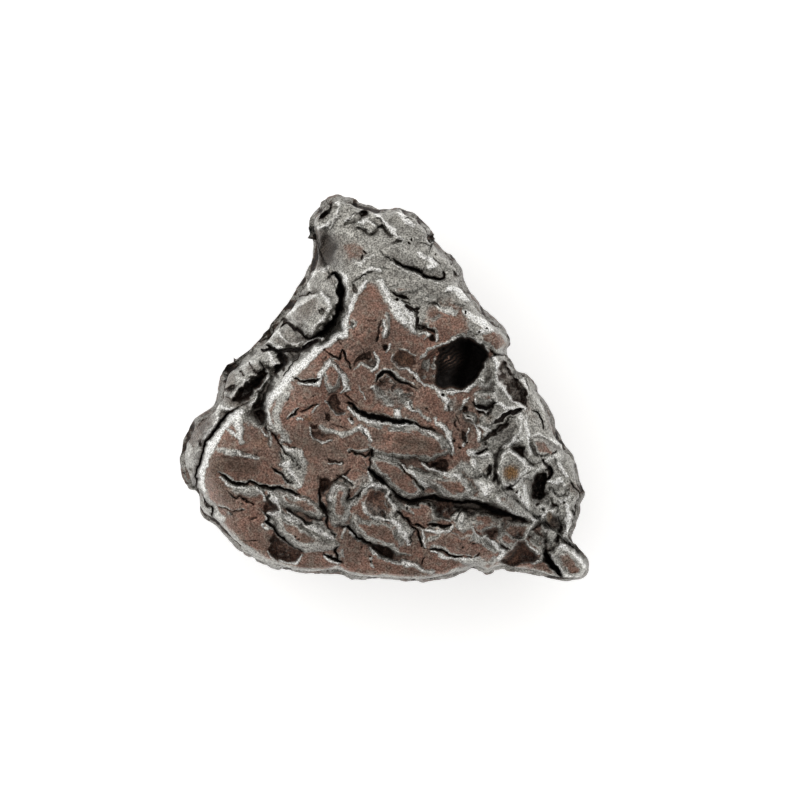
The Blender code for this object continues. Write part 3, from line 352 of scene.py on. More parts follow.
# pillows: outline polygon, rise, width of the rounded edge, brownness of the top 0..1
LOBES = [
    ([(356, 222), (364, 220), (376, 226), (378, 230), (372, 233), (362, 230)], 2.5, 3, 0.2),
    ([(408, 210), (414, 212), (422, 217), (430, 228), (432, 237), (425, 240), (415, 232), (408, 222)], 3, 6, 0.1),
    ([(386, 247), (400, 244), (420, 250), (436, 262), (442, 272), (430, 272), (414, 264), (398, 257)], 2.5, 6, 0.15),
    ([(389, 289), (397, 285), (408, 285), (418, 288), (412, 292), (400, 293)], 2.5, 3, 0.8),
    ([(420, 296), (440, 294), (458, 298), (466, 308), (452, 308), (440, 301), (428, 302)], 3, 6, 0.7),
    ([(428, 318), (442, 314), (460, 316), (472, 324), (470, 338), (455, 339), (436, 338), (427, 330)], 2.5, 7, 0.9),
    ([(475, 322), (486, 317), (498, 321), (508, 331), (512, 341), (508, 349), (500, 354), (489, 350), (480, 343),
      (474, 332)], 4, 8, 0.8),
    ([(346, 305), (362, 300), (380, 302), (388, 312), (390, 330), (382, 345), (364, 347), (348, 342), (342, 325)],
     2, 9, 0.75),
    ([(290, 303), (304, 296), (316, 294), (328, 296), (335, 305), (332, 316), (322, 330), (313, 336), (304, 330),
      (296, 326), (285, 318)], 6, 7, 0.25),
    ([(305, 318), (318, 316), (330, 318), (324, 330), (312, 338), (304, 330)], 2.5, 4, 0.15),
    ([(264, 339), (276, 331), (290, 334), (298, 342), (291, 348), (276, 348), (266, 345)], 4, 5, 0.15),
    ([(266, 352), (273, 350), (280, 354), (282, 364), (276, 371), (269, 369), (264, 361)], 5, 5, 0.2),
    ([(241, 367), (250, 361), (261, 360), (265, 367), (256, 377), (244, 379)], 4, 4, 0.2),
    ([(219, 376), (231, 367), (243, 370), (246, 380), (238, 388), (224, 396), (217, 388)], 4, 6, 0.25),
    ([(197, 493), (205, 503), (211, 512), (216, 524), (206, 520), (198, 508)], 3, 5, 0.0),
    ([(274, 492), (285, 490.5), (300, 494), (310, 499), (318, 503), (323, 508), (324, 514), (318, 518), (308, 513),
      (296, 508), (284, 506), (276, 500)], 5.5, 6, 0.95),
    ([(274, 515), (281, 513), (290, 519), (300, 524), (315, 532), (328, 539), (338, 541), (337, 547), (325, 549),
      (310, 549), (298, 546), (286, 537), (277, 527)], 6.5, 7, 0.95),
    ([(333, 485), (340, 481), (347, 485), (351, 492), (349, 501), (346, 512), (344, 524), (335, 523), (331, 508),
      (331, 495)], 5.5, 6, 0.7),
    ([(325, 367), (331, 361), (338, 364), (342, 374), (339, 388), (331, 393), (325, 386)], 3.5, 5, 0.95),
    ([(369, 425), (385, 426), (400, 427), (415, 429), (430, 433), (440, 436), (447, 441), (447.5, 449), (442, 456),
      (430, 460), (415, 459), (400, 458), (385, 456), (373, 452), (367, 440)], 4.5, 7, 1.0),
    ([(371, 456), (390, 457.5), (403, 464), (412, 472), (420, 481), (424, 491), (418, 497), (408, 496), (396, 489),
      (386, 481), (377, 473), (370, 464)], 4.5, 6, 0.95),
    ([(409, 466), (425, 470), (440, 474), (452, 476), (462, 476), (470, 482), (474, 490), (471, 496), (458, 497),
      (445, 494), (432, 488), (420, 480), (411, 472)], 5.5, 7, 0.95),
    ([(426, 541), (430, 534), (445, 532.5), (460, 533), (475, 536), (488, 542), (498, 548), (501, 554), (493, 561),
      (478, 563), (460, 560), (445, 556), (432, 548)], 4, 8, 1.0),
    ([(404, 504), (420, 501), (434, 501.5), (438, 507), (435, 514), (447, 519), (440, 521.5), (424, 520.5),
      (412, 515)], 3, 5, 0.9),
    ([(350, 508), (357, 514), (368, 520), (382, 523), (394, 527), (401, 535), (404, 543), (399, 549), (386, 545),
      (370, 538), (358, 531), (350, 522)], 3.5, 6, 0.95),
    ([(462, 412), (470, 410), (475, 416), (473, 422), (464, 420)], 3, 3.5, 0.4),
    ([(474, 398), (480, 393), (489, 391), (497, 395), (495, 401), (486, 403), (477, 402)], 4.5, 4, 0.8),
    ([(478, 417), (486, 415), (493, 418), (491, 424), (482, 425)], 2.5, 4, 0.7),
    ([(482, 439), (488, 434.5), (495, 431), (505, 424), (515, 421), (518.5, 427), (512, 436), (500, 445),
      (487, 448)], 2.5, 4, 0.0),
    ([(530, 440), (540, 437), (551, 445), (560, 454), (557, 460), (548, 455), (538, 454)], 2.5, 3, 0.95),
    ([(500, 451), (508, 448.5), (519, 451), (527, 458), (531, 467), (525, 476), (515, 483), (507, 487), (500, 486),
      (496, 478), (495, 466), (497, 457)], 6, 8, 0.0),
    ([(495, 491), (505, 491), (513, 499), (521, 507), (528, 512), (527, 517), (518, 518.5), (508, 514.5),
      (498, 507), (489, 499)], 5, 6, 0.8),
    ([(477, 466), (483, 463.5), (488, 465), (485, 474), (479, 475)], 2, 3, 0.6),
    ([(544, 528), (551, 526), (558, 531), (557, 539), (551, 543), (545, 538)], 5, 6, 0.2),
    ([(549, 552), (557, 546.5), (567, 548.5), (577, 556), (585, 562), (588.5, 568), (585, 576), (575, 579.5),
      (564, 577.5), (562, 568), (554.5, 562), (548.5, 556)], 5, 8, 0.85),
    ([(472, 513), (485, 512), (500, 518), (504, 522), (498, 528), (486, 529), (476, 531), (470, 524)], 2.5, 5, 0.9),
    ([(505, 521), (518, 520), (531, 520), (534, 524), (528, 533), (521, 538), (512, 534), (505, 530)], 2.5, 5, 0.9),
    ([(499, 532), (507, 531), (514, 537), (518, 540), (508, 549), (501, 544), (497, 539)], 2.5, 5, 0.9),
    ([(525, 537), (535, 540), (543, 548), (545, 556), (536, 553), (528, 544)], 2.5, 4, 0.8),
]

# ridges: path, half width, rise
RIDGES = [
    ([(369, 210), (377, 217), (385, 224), (393, 231), (400, 238)], 4, 3.5),
    ([(420, 283), (432, 284), (445, 287), (458, 291), (470, 297)], 7, 3.0),
    ([(281, 333), (286, 342), (297, 346.5)], 2.5, 2.5),
    ([(302, 348), (310, 342), (322, 337)], 3.5, 3.5),
    ([(286, 353), (289, 358), (292, 363)], 3, 3.0),
    ([(233, 396), (239, 390), (245, 384)], 2.5, 10.0),
    ([(250, 406), (256, 397), (262, 385), (269, 378)], 3.5, 6.0),
    ([(247, 399), (252, 394), (258, 389)], 2.5, 8.0),
    ([(486, 359), (484, 370), (482, 381)], 3, 3.0),
    ([(495, 360), (497, 378), (494, 396)], 3.5, 4.5),
    ([(514, 414), (519, 428), (525, 446)], 3.5, 4.5),
    ([(519, 428), (514, 438), (507, 446)], 3, 3.0),
    ([(530, 474), (540, 468), (549, 461), (559, 455)], 4.5, 5.0),
    ([(527, 458), (538, 459), (549, 459)], 4, 3.0),
    ([(512, 484), (520, 479), (530, 472)], 2.5, 2.5),
    ([(566, 512), (567, 526), (568, 541)], 3.5, 5.0),
    ([(505, 556), (512, 549), (521, 540), (527, 532), (533, 522)], 2.8, 3.5),
    ([(521, 540), (530, 548), (541, 559)], 2.8, 3.5),
    ([(508, 568), (520, 565), (532, 561.5), (541, 558)], 3.0, 2.5),
    ([(344, 552), (343, 560), (341, 566)], 4, 1.5),
    ([(379, 557), (393, 561.5), (408, 563), (420, 566.5), (432, 569)], 2.5, 2.5),
    ([(386, 318), (387, 327), (384, 336)], 3.5, 2.5),
    ([(425, 341), (428, 339), (431, 337)], 1.2, 1.5),
    ([(392, 294), (396, 294.5)], 2.5, 2.0),
]

# one-sided drops: path of (u, v, share), drop on the right of the path, how far the low side reaches
STEPS = [
    ([(339, 334, 0.3), (321, 344, 0.8), (302, 354, 1.0), (287, 366, 1.0), (276, 380, 1.0), (269, 396, 1.0),
      (266, 412, 0.8), (268, 425, 0.3)], 26, 30, 8),
    ([(240, 408, 0.4), (226, 416, 1.0), (215, 430, 1.0), (207, 447, 1.0), (201, 464, 1.0), (197, 480, 0.8),
      (196, 494, 0.5)], 12, 18, 7),
    ([(372, 470, 0.3), (389, 487, 0.7), (408, 500, 0.8), (433, 499, 0.9), (455, 501, 1.0), (475, 503, 1.0),
      (492, 509, 1.0), (508, 516, 0.9), (526, 519, 0.4)], 8, 30, 3),
    ([(344, 527, 0.3), (356, 535, 0.8), (370, 541, 1.0), (390, 549, 0.8), (405, 553, 0.3)], 5, 22, 3),
    ([(372, 414, 0.3), (385, 415, 0.8), (410, 420, 0.6), (434, 428, 0.2)], 2, 12, 3),
    ([(421, 566, 0.2), (400, 562, 0.7), (383, 559, 0.8), (372, 551, 0.4)], 4, 14, 2),
]

# soft hollows: u, v, half size in u and v, turn in degrees, depth
HOLLOWS = [
    (326, 250, 14, 22, 10, 12), (373, 362, 9, 7, 0, 4), (385, 440, 10, 5, 8, 1.5), (403, 398, 22, 9, 12, 3),
    (470, 507, 26, 7, 6, 5), (300, 470, 14, 14, 0, 2.5), (322, 529, 14, 8, 30, 3), (360, 494, 12, 8, -35, 3),
    (540, 470, 12, 6, -35, 2), (548, 500, 16, 14, 0, 3), (486, 385, 10, 9, 0, 3), (456, 410, 12, 12, 0, 2),
    (384, 262, 20, 10, 0, 2), (430, 310, 12, 8, 0, 1.5), (500, 540, 14, 10, 0, 1), (475, 460, 18, 10, -10, 1.5),
    (220, 512, 22, 8, 35, 2), (250, 512, 20, 6, 10, 1.5),
]

# broad brown patina and bare silver-grey metal, soft-edged: outline, strength, softness
BROWN = [
    ([(344, 300), (356, 290), (368, 284), (379, 288), (392, 312), (408, 330), (422, 338), (428, 312), (440, 300),
      (462, 312), (474, 330), (490, 336), (508, 334), (510, 342), (500, 354), (478, 395), (486, 430),
      (474, 452), (474, 470), (500, 492), (530, 515), (545, 535), (552, 575), (500, 568), (440, 576), (380, 576),
      (300, 570), (250, 550), (215, 518), (200, 488), (203, 455), (222, 425), (245, 412), (262, 428), (270, 400),
      (284, 372), (312, 346), (338, 325), (345, 290)], 0.95, 9),
    ([(343, 246), (352, 242), (364, 246), (365, 258), (356, 264), (344, 259)], 0.6, 5),
    ([(530, 440), (540, 437), (551, 445), (560, 454), (557, 460), (548, 455), (538, 454)], 0.95, 3),
    ([(545, 406), (552, 412), (555, 430), (549, 430), (545, 418)], 0.6, 3),
    ([(568, 484), (580, 482), (584, 492), (578, 500), (570, 492)], 0.6, 4),
    ([(570, 538), (577, 545), (579, 550), (570, 548)], 0.7, 3),
    ([(552, 552), (562, 550), (576, 558), (585, 568), (580, 576), (566, 576), (558, 562)], 0.9, 5),
    ([(500, 372), (515, 380), (528, 398), (540, 420), (530, 425), (515, 400), (502, 385)], 0.35, 5),
    ([(290, 305), (315, 298), (330, 308), (318, 330), (300, 325)], 0.25, 6),
    ([(395, 215), (430, 232), (425, 240), (400, 230)], 0.12, 6),
]
SILVER = [
    ([(280, 452), (298, 450), (308, 462), (304, 482), (296, 488), (284, 480)], 0.95, 4, 1.0),
    ([(308, 520), (322, 520), (336, 534), (334, 541), (318, 534), (306, 526)], 1.0, 3, 1.3),
    ([(368, 478), (384, 482), (398, 494), (404, 504), (398, 512), (412, 524), (414, 532), (408, 545), (400, 532),
      (390, 522), (372, 520), (364, 508), (368, 500), (386, 514), (392, 508), (384, 492), (372, 488), (364, 494),
      (358, 504), (352, 504), (356, 492)], 0.9, 3.5, 1.0),
    ([(414, 500), (430, 470), (448, 470), (462, 460), (472, 466), (492, 448), (500, 450), (494, 470), (500, 488),
      (494, 498), (478, 499), (474, 482), (462, 472), (440, 474)], 0.9, 5, 0.8),
    ([(268, 488), (280, 487), (276, 500), (286, 512), (284, 520), (272, 512), (268, 500)], 0.8, 3, 0.6),
    ([(512, 488), (524, 482), (530, 496), (530, 512), (522, 508), (514, 498)], 0.95, 3, 1.2),
    ([(530, 498), (546, 486), (558, 478), (570, 486), (574, 505), (568, 540), (560, 540), (556, 516), (544, 514),
      (532, 520), (530, 508)], 0.95, 4, 1.6),
    ([(532, 530), (544, 538), (546, 550), (540, 544), (530, 535)], 0.8, 2.5, 1.0),
    ([(484, 440), (500, 446), (515, 436), (524, 430), (530, 440), (530, 458), (520, 452), (500, 450), (490, 456),
      (480, 452)], 0.8, 4, 0.6),
    ([(452, 515), (466, 510), (472, 522), (470, 532), (460, 529), (452, 522)], 0.7, 3, 0.8),
    ([(338, 478), (350, 478), (370, 470), (372, 484), (356, 490), (346, 488)], 0.5, 4, 0.8),
    ([(326, 512), (346, 510), (348, 524), (334, 526)], 0.7, 3, 0.9),
    ([(472, 312), (486, 312), (480, 326), (472, 338), (466, 332)], 0.8, 3, 1.2),
    ([(520, 556), (534, 554), (538, 558), (522, 563)], 0.9, 1.5, 0.8),
    ([(374, 388), (400, 390), (410, 396), (404, 405), (384, 405), (374, 398)], 0.55, 5, 0.8),
    ([(232, 483), (262, 486), (266, 494), (246, 498), (232, 490)], 0.7, 3, 0.3),
    ([(488, 358), (500, 362), (500, 392), (492, 396), (482, 384)], 0.7, 4, 0.8),
    ([(443, 395), (456, 396), (458, 412), (444, 412)], 0.5, 3, 1.0),
]
OCHRE = [(511, 471.5, 9.5, 8.5, 1.0), (503, 344, 4, 4, 0.8), (309, 418, 5, 3.5, 0.6), (549, 518, 4, 6, 0.6),
         (262, 442, 10, 8, 0.15), (489, 418, 5, 4, 0.3), (403, 360, 10, 7, 0.5), (515, 553, 10, 7, 0.3)]
# dark grey patches in hollows, painted shade and patina: u, v, half size in u and v, strength
GREY_SHADE_AND_PATINA = [(326, 250, 14, 20, 0.9), (500, 434, 18, 9, 0.55), (468, 507, 28, 6, 0.85), (335, 262, 8, 12, 0.5),
         (205, 430, 8, 14, 0.5), (288, 360, 8, 14, 0.5), (575, 520, 5, 16, 0.6), (515, 480, 10, 4, 0.5),
         (506, 352, 8, 4, 0.7)]


# worn bright metal and painted highlight along edges and lips: strength, then the path of (u, v, half width)
WEAR_AND_HIGHLIGHT = [
    # the rim of the plateau, its upper wall and the left lobe's rim
    (1.0, [(366, 283, 3), (356, 296, 3), (350, 312, 3), (346, 324, 3.5), (345, 335, 4), (338, 337, 3.5), (328, 344, 4),
           (318, 351, 4), (308, 358, 4.5), (299, 367, 5), (291, 376, 5), (283, 386, 4.5), (277, 393, 4.5),
           (271, 400, 4.5), (267, 408, 4), (269, 418, 3.5), (272, 425, 3)]),
    (0.6, [(276, 428, 3.5), (281, 434, 3.5), (284, 441, 2.5)]),
    (0.45, [(291, 388, 6), (281, 402, 6), (277, 416, 5), (283, 430, 4), (290, 440, 4)]),
    (1.0, [(379, 281, 3), (384, 290, 4), (391, 302, 4.5), (399, 313, 5), (408, 323, 4.5), (415, 332, 2.5)]),
    (0.9, [(397, 299, 3), (403, 307, 3), (411, 315, 3), (415, 323, 2.5)]),
    (1.0, [(243, 412, 3), (232, 416, 4), (226, 424, 3.5), (220, 434, 3.5), (214, 444, 3.2), (209, 456, 3), (205, 466, 2.6),
           (202, 478, 2.4), (203, 489, 2)]),
    (0.75, [(237, 418, 6), (240, 429, 5), (243, 441, 3.5)]),
    (0.8, [(229, 428, 1.2), (238, 437, 1.6)]),
    (0.5, [(220, 449, 4), (231, 453, 4), (241, 453, 3), (251, 456, 2.5), (259, 460, 1.5)]),
    (0.95, [(237, 452, 1), (247, 456, 1.2), (256, 460, 1)]),
    (0.9, [(217, 405, 3), (227, 409, 2.6), (236, 409, 2)]),
    (0.8, [(217, 411, 2.5), (218, 418, 2.2), (211, 428, 2.6), (205, 437, 2)]),
    (0.8, [(261, 429, 0.8), (266, 434, 0.8)]),
    (1.0, [(281, 464, 2.5), (288, 463, 3), (290, 470, 3.4), (295, 476, 2.8), (299, 484, 2)]),
    (0.75, [(284, 448, 2.5), (293, 449, 3), (301, 454, 3), (302, 463, 3)]),
    (0.7, [(222, 477, 0.8), (229, 483, 1), (241, 485.5, 1.3), (253, 488, 1.4), (262, 489, 1.3)]),
    (0.95, [(257, 487, 1.6), (263, 492, 2.2), (266, 499, 1.4)]),
    (0.8, [(270, 491, 2), (280, 491, 2.6), (291, 493.5, 2), (301, 497, 1.6), (311, 501, 1.2)]),
    (1.0, [(273, 496, 3.4), (276, 503, 2.6), (279, 508, 1.6)]),
    (1.0, [(268, 513, 3), (276, 511.5, 3.6), (284, 515, 2.6), (291, 518, 2.4), (298, 522, 2.4)]),
    (1.0, [(289, 512, 1.3), (297, 517, 1.8), (306, 523, 2.2), (313, 528, 3.4), (321, 532, 3.4), (329, 535.5, 2.6),
           (333, 538, 1.2)]),
    (0.55, [(267, 517, 2), (272, 525, 2.6), (279, 533, 3), (288, 540, 3), (298, 547, 3), (311, 551, 2), (323, 551, 1.5)]),
    (0.35, [(209, 505, 5), (220, 518, 6), (230, 532, 6), (243, 547, 5), (258, 560, 4), (282, 568, 3.5), (312, 572, 3)]),
    (0.45, [(243, 545, 4), (254, 551, 4)]),
    (0.6, [(215, 507, 2), (222, 520, 2.6)]),
    (0.8, [(264, 524, 0.8), (269, 529, 0.8)]),
    (0.8, [(302, 554, 1.3), (298, 561, 1.3), (289, 561, 1.2), (280, 558, 1)]),
    (0.7, [(269, 550, 0.8), (276, 556, 0.9)]),
    # lobe between, arc and the bright swoosh
    (0.95, [(332, 499, 2.2), (332, 490, 2.6), (336, 484, 2.6), (342, 483.5, 2), (348, 488, 1.8), (349.5, 493, 1)]),
    (0.75, [(345, 518, 3), (348, 508, 2.4), (353, 499, 1.8), (361, 492, 1.8), (371, 485.5, 2.2)]),
    (1.0, [(367, 487, 2.6), (375, 483.5, 3), (384, 484, 3), (389, 489, 3), (388, 495, 2.4), (393, 502, 3),
           (396, 509, 2.4)]),
    (1.0, [(365, 503, 1.8), (367.5, 511, 2.4), (374, 517, 2.6), (384, 517.5, 2), (391, 520, 3), (399, 526, 4),
           (405, 533, 3.6), (407.5, 540, 2), (408, 545, 1)]),
    (0.5, [(371, 456, 2), (381, 456, 2), (393, 458, 2), (401, 462.5, 1.6)]),
    (0.95, [(404, 465, 1.3), (412, 473, 1.8), (420, 480.5, 1.8), (428, 486, 1.2)]),
    (0.9, [(423, 463, 1), (431, 467.5, 1.6)]),
    (0.6, [(350, 450.5, 1), (361, 452, 1.1), (368, 449.5, 0.9)]),
    (0.7, [(329, 462.5, 0.8), (342, 462, 0.9)]),
    (0.8, [(369, 471, 1.4), (371, 481, 1.4)]),
    (0.7, [(345, 474.5, 1), (352, 482, 1)]),
    (1.0, [(351.5, 530, 1), (355, 535.5, 1.3), (361, 540, 0.9)]),
    (0.95, [(369, 545.5, 1), (374, 552, 1.4), (381, 557, 1.5), (391, 559.5, 2), (401, 561, 2.6), (412, 564, 2.2),
            (423, 567, 1.4)]),
    (0.6, [(346, 527.5, 1.4), (343, 536, 1.4)]),
    (0.9, [(325, 554.5, 0.8), (332, 559, 1.1), (340, 562, 0.8)]),
    (0.6, [(343, 549, 1.3), (345, 556, 1)]),
    (0.6, [(371.5, 556, 1.6), (372, 565, 1.6)]),
    (0.40, [(318, 570, 2.5), (344, 573, 3), (361, 576, 3), (391, 578.5, 2), (421, 580.5, 1.6)]),
    (0.5, [(398, 505, 1.6), (406, 508, 2.4), (413, 512, 1.6)]),
    # tongue, shallow pits and groove of the plateau
    (0.9, [(331, 362, 2.4), (326, 368, 3), (321, 376, 2.8), (319.5, 386, 1.8)]),
    (0.95, [(336, 364, 2), (341, 372, 2.4), (346, 380, 3.4), (347.5, 388, 2.6), (341, 393.5, 1.3)]),
    (0.95, [(375, 352, 1.3), (379.5, 359, 2), (377, 365.5, 2.2), (371, 369, 1.6)]),
    (0.6, [(353, 369, 1), (361, 364.5, 1.2), (368, 366, 1.4)]),
    (0.95, [(394, 356, 1.3), (394.5, 362, 1.4), (399, 367.5, 1.4), (406, 369.5, 1.4), (413, 373, 1.4), (417, 380, 1.3)]),
    (0.55, [(399, 350.5, 1), (407, 350, 1), (415, 354, 1)]),
    (0.6, [(376, 376, 0.8), (384, 369.5, 0.9), (394, 371.5, 0.9), (404, 378.5, 0.9), (414, 385.5, 0.8)]),
    (0.9, [(374, 388, 2.2), (380, 393, 3), (387, 399, 3), (391, 403, 2)]),
    (0.5, [(397, 391, 4), (404, 399, 5), (411, 405, 4)]),
    (0.45, [(359.5, 386, 0.7), (362, 393, 0.7), (365, 401, 0.8)]),
    (0.8, [(327, 401, 0.8), (331.5, 408, 1), (337, 415, 1.2), (345, 412, 1.1)]),
    (0.8, [(299, 383, 1.2), (309, 385, 1.8), (318, 384, 1.3)]),
    (1.0, [(348.5, 408, 0.8), (354.5, 414, 1.2), (361, 419, 2.8), (369, 422, 2.6), (381, 422.5, 1.8), (396, 423.5, 1.7),
           (411, 425.5, 1.7), (421, 428, 1.6), (431, 433, 1.8), (441, 438, 2)]),
    (0.95, [(361, 427, 2.4), (367, 433, 2.6), (371, 439, 1.6)]),
    (0.95, [(397, 410, 3.4), (400, 418, 2.4)]),
    (0.95, [(310, 428, 1.1), (310, 434, 1.1), (315, 440, 1.2), (323, 443.5, 1.2), (331, 441, 1)]),
    (0.55, [(321, 427, 2), (330, 431, 2.6), (342, 434.5, 2.6), (353, 432.5, 2.6), (361, 428, 2)]),
    (0.8, [(348.5, 419, 1), (353.5, 424, 1)]),
    (0.8, [(289, 417.5, 0.8), (295, 411.5, 0.9), (300, 407, 0.6)]),
    (0.7, [(298, 419, 1.3), (304, 419.5, 0.8)]),
    (0.7, [(313, 412, 0.7), (319, 406, 0.8)]),
    (0.95, [(408, 401, 0.9), (411, 408, 1), (417, 411.5, 0.8)]),
    (0.5, [(418, 410, 2), (424, 415, 2), (430, 421, 1.6)]),
    # round the large pit
    (0.65, [(421, 358, 1.3), (427, 352, 1.4), (437, 346, 1.5), (447, 342.5, 1.6), (457, 339, 1.5), (467, 336.5, 1.4),
            (475, 338, 1.6), (482, 344, 1.8), (488, 351, 1.6)]),
    (0.8, [(417, 373, 1.2), (419, 381, 1.4), (427, 386.5, 1.5), (440, 391.5, 2), (455, 391.5, 1.8), (467, 390, 1.8),
           (476, 384, 1.8), (481, 374, 1.5), (486, 365, 1.3)]),
    (1.0, [(436, 391, 2.4), (442, 396, 3), (447, 401, 2.6), (446, 407, 2.6), (452, 409, 1.6)]),
    (0.75, [(468, 397, 1), (463, 403, 1.2), (459, 409, 1)]),
    (0.8, [(474, 395, 1), (481, 392, 1.2), (489, 391, 1.2), (496, 394, 1.4), (497, 400, 1.4)]),
    (1.0, [(494, 358, 3), (498, 366, 3), (499, 376, 3.4), (501, 385, 3.4), (506, 393, 3.2), (511, 400, 3), (519, 405, 3),
           (524, 409, 2)]),
    (0.85, [(482, 378, 2), (480, 386, 2.4), (488, 385, 2.4), (494, 378, 1.6)]),
    (0.8, [(507, 357, 2), (513, 365, 2.4), (519, 375, 2.6), (524, 386, 2.4), (527, 396, 2)]),
    (1.0, [(497, 403, 2.6), (505, 408, 2.4), (512, 409, 2.2)]),
    (1.0, [(488, 427, 1.6), (496, 420.5, 1.6), (504, 414.5, 1.6), (513, 410.5, 1.5), (522, 407.5, 1.3)]),
    (0.95, [(478, 424, 1.8), (484, 428, 3.2), (490, 431, 3), (484, 435, 2)]),
    (1.0, [(474, 399, 1), (478, 406, 1.8), (482, 410, 1.8), (489, 411, 1.6)]),
    (0.9, [(463, 412, 1), (468, 418, 1), (474, 424, 1.2), (477, 432, 1.4), (478, 441, 1.4)]),
    (1.0, [(441, 423, 2.6), (446, 427, 3.4), (449, 434, 3), (450, 443, 2), (450.5, 452, 1.4)]),
    (0.9, [(434, 419, 1.6), (438, 425, 1.4)]),
    (0.9, [(463, 446, 1.3), (465.5, 438, 1.3), (468, 430, 1)]),
    (1.0, [(520, 414, 1.8), (521, 424, 2), (518, 434, 2.6), (511, 441, 3), (503, 447, 2.6)]),
    (0.95, [(524, 417, 1.8), (526, 430, 2), (528, 443, 2), (531, 453, 1.6)]),
    (0.8, [(508, 445, 2.4), (516, 441, 2.6), (523, 437, 2)]),
    # the knotted right side
    (0.9, [(470, 453, 4), (480, 456, 4), (489, 453, 4), (492, 458, 3)]),
    (0.9, [(472, 462, 4), (474, 468, 3)]),
    (0.85, [(480, 484, 6), (486, 491, 6), (490, 484, 5)]),
    (1.0, [(500, 459, 2), (503, 453, 2.4), (509, 450, 2.6), (516, 453, 2.6), (523, 459, 2.8), (527, 466, 2.2)]),
    (0.7, [(498, 464, 1.8), (498, 474, 2), (502, 482, 2.4), (507, 485, 1.8)]),
    (0.85, [(516, 480, 1.6), (523, 474, 2), (530, 468, 1.8)]),
    (0.8, [(509, 489, 1.3), (517, 485, 1.6), (526, 478, 1.6), (536, 471, 1.8), (546, 463, 1.8), (556, 455, 1.4)]),
    (1.0, [(517, 492, 3.4), (523, 499, 3.6), (528, 507, 3), (524, 486, 3)]),
    (0.7, [(496, 494, 2.4), (500, 503, 2.6), (509, 511, 2.6), (519, 517, 2.4), (527, 514, 2)]),
    (1.0, [(431, 466.5, 1.8), (440, 471.5, 2), (449, 474, 2.6), (458, 475, 2.6), (464, 479, 2), (467, 487, 1.5),
           (469, 492, 0.9)]),
    (0.6, [(432, 485.5, 2), (440, 490, 2.4), (449, 495.5, 2.2), (461, 497.5, 2), (474, 498, 1.8), (486, 501, 1.8)]),
    (0.55, [(411, 468, 2), (419, 476, 2), (428, 483, 1.8)]),
    (1.0, [(426, 527, 1.4), (433, 529.5, 1.8), (442, 531.5, 1.9), (450, 531, 1.4), (452, 527, 1.1)]),
    (0.95, [(471, 527, 1), (474, 534, 1.1), (480, 537, 1.2), (486, 536, 1.8), (492, 541, 2), (498, 546, 2.4),
            (503, 551, 2), (499, 558, 1.6)]),
    (0.85, [(497, 533, 1.2), (500, 528, 1.2), (503, 523, 0.9)]),
    (0.7, [(455, 516, 3), (462, 517, 4), (458, 525, 3.4), (464, 530, 2.4)]),
    (0.8, [(437, 513, 1.2), (442, 518, 1.3), (449, 521, 1.2)]),
    (0.8, [(431, 551, 0.8), (440, 554.5, 1.1), (452, 557, 1.1), (466, 557.5, 1), (478, 557, 0.8)]),
    (0.9, [(423, 528, 1.3), (424, 537, 1.4), (426, 545, 1.3)]),
    (0.9, [(504, 553, 1.1), (511, 547, 1.1), (519, 541, 1.1)]),
    (0.95, [(525, 541, 1.2), (531, 547, 1.4), (538, 552, 1.4), (544, 557, 1.2)]),
    (0.9, [(533, 523, 1.4), (529, 531, 1.6), (524, 538, 1.4)]),
    (1.0, [(529, 514, 1.8), (535, 520, 2.4), (541, 516, 2.6), (546, 512, 2)]),
    (0.9, [(539, 505, 3), (546, 508, 3), (553, 512, 2.6)]),
    (1.0, [(549, 481, 2.4), (556, 483, 2.6), (560, 478, 2), (563, 486, 2.4)]),
    (0.85, [(552, 495, 3), (560, 501, 3), (567, 497, 2.4)]),
    (1.0, [(566, 504, 2.6), (567, 516, 3), (566, 528, 3), (564, 539, 2.6)]),
    (0.7, [(559, 513, 1.4), (560, 524, 1.2)]),
    (0.75, [(542, 527, 2.4), (548, 533, 2.4), (552, 528, 2)]),
    (0.85, [(558, 461, 2), (562, 468, 2.4), (566, 475, 2)]),
    (0.6, [(533, 398, 2), (541, 404, 2.4), (547, 414, 2), (553, 428, 2), (556, 438, 2.2), (563, 447, 2)]),
    (0.7, [(530, 437, 1.4), (537, 432, 1.8), (547, 436, 1.8), (557, 444, 1.6)]),
    (1.0, [(556, 547, 1.6), (564, 546, 2.2), (572, 551, 2.4), (579, 557, 2), (585, 565, 1.6)]),
    (0.8, [(549, 552, 1.4), (553, 560, 1.8), (560, 569, 2), (568, 576, 1.8), (578, 578, 1.6)]),
    (0.7, [(531, 562, 1.8), (540, 560, 1.8), (544, 554, 1.2)]),
    (0.5, [(540, 572, 2), (548, 576, 2), (556, 578, 1.6)]),
    # upper plateau and the knobbed end
    (1.0, [(399, 208, 3), (401, 215, 5), (404, 222, 3.4), (412, 226, 2.4)]),
    (0.8, [(421, 216, 3), (427, 226, 3), (430, 235, 2.4)]),
    (0.95, [(419, 253, 2.4), (427, 259, 4), (436, 264, 4), (430, 268, 3)]),
    (0.9, [(428, 244, 3), (436, 247, 2.4)]),
    (0.9, [(449, 290, 4), (458, 293, 5), (467, 300, 4), (462, 286, 3)]),
    (0.95, [(462, 312, 2.4), (472, 318, 3.6), (482, 322, 4.4), (490, 330, 4), (479, 333, 3)]),
    (0.7, [(437, 306, 3), (446, 310, 4), (454, 314, 3)]),
    (0.8, [(498, 325, 2), (506, 334, 2.2), (510, 342, 1.8)]),
    (0.8, [(362, 276, 3), (371, 270, 3), (380, 272, 3)]),
    (0.7, [(393, 263, 2), (403, 269, 2), (414, 274, 2), (424, 279, 1.8), (437, 283, 2)]),
    (0.8, [(383, 322, 1.6), (386, 330, 2), (384, 338, 1.6)]),
    (0.85, [(420, 334, 1.2), (427, 333, 1.2), (430, 337, 1)]),
    (0.85, [(435, 341, 0.9), (437, 336, 0.9)]),
    (0.75, [(387, 352, 1), (390, 346, 1.2)]),
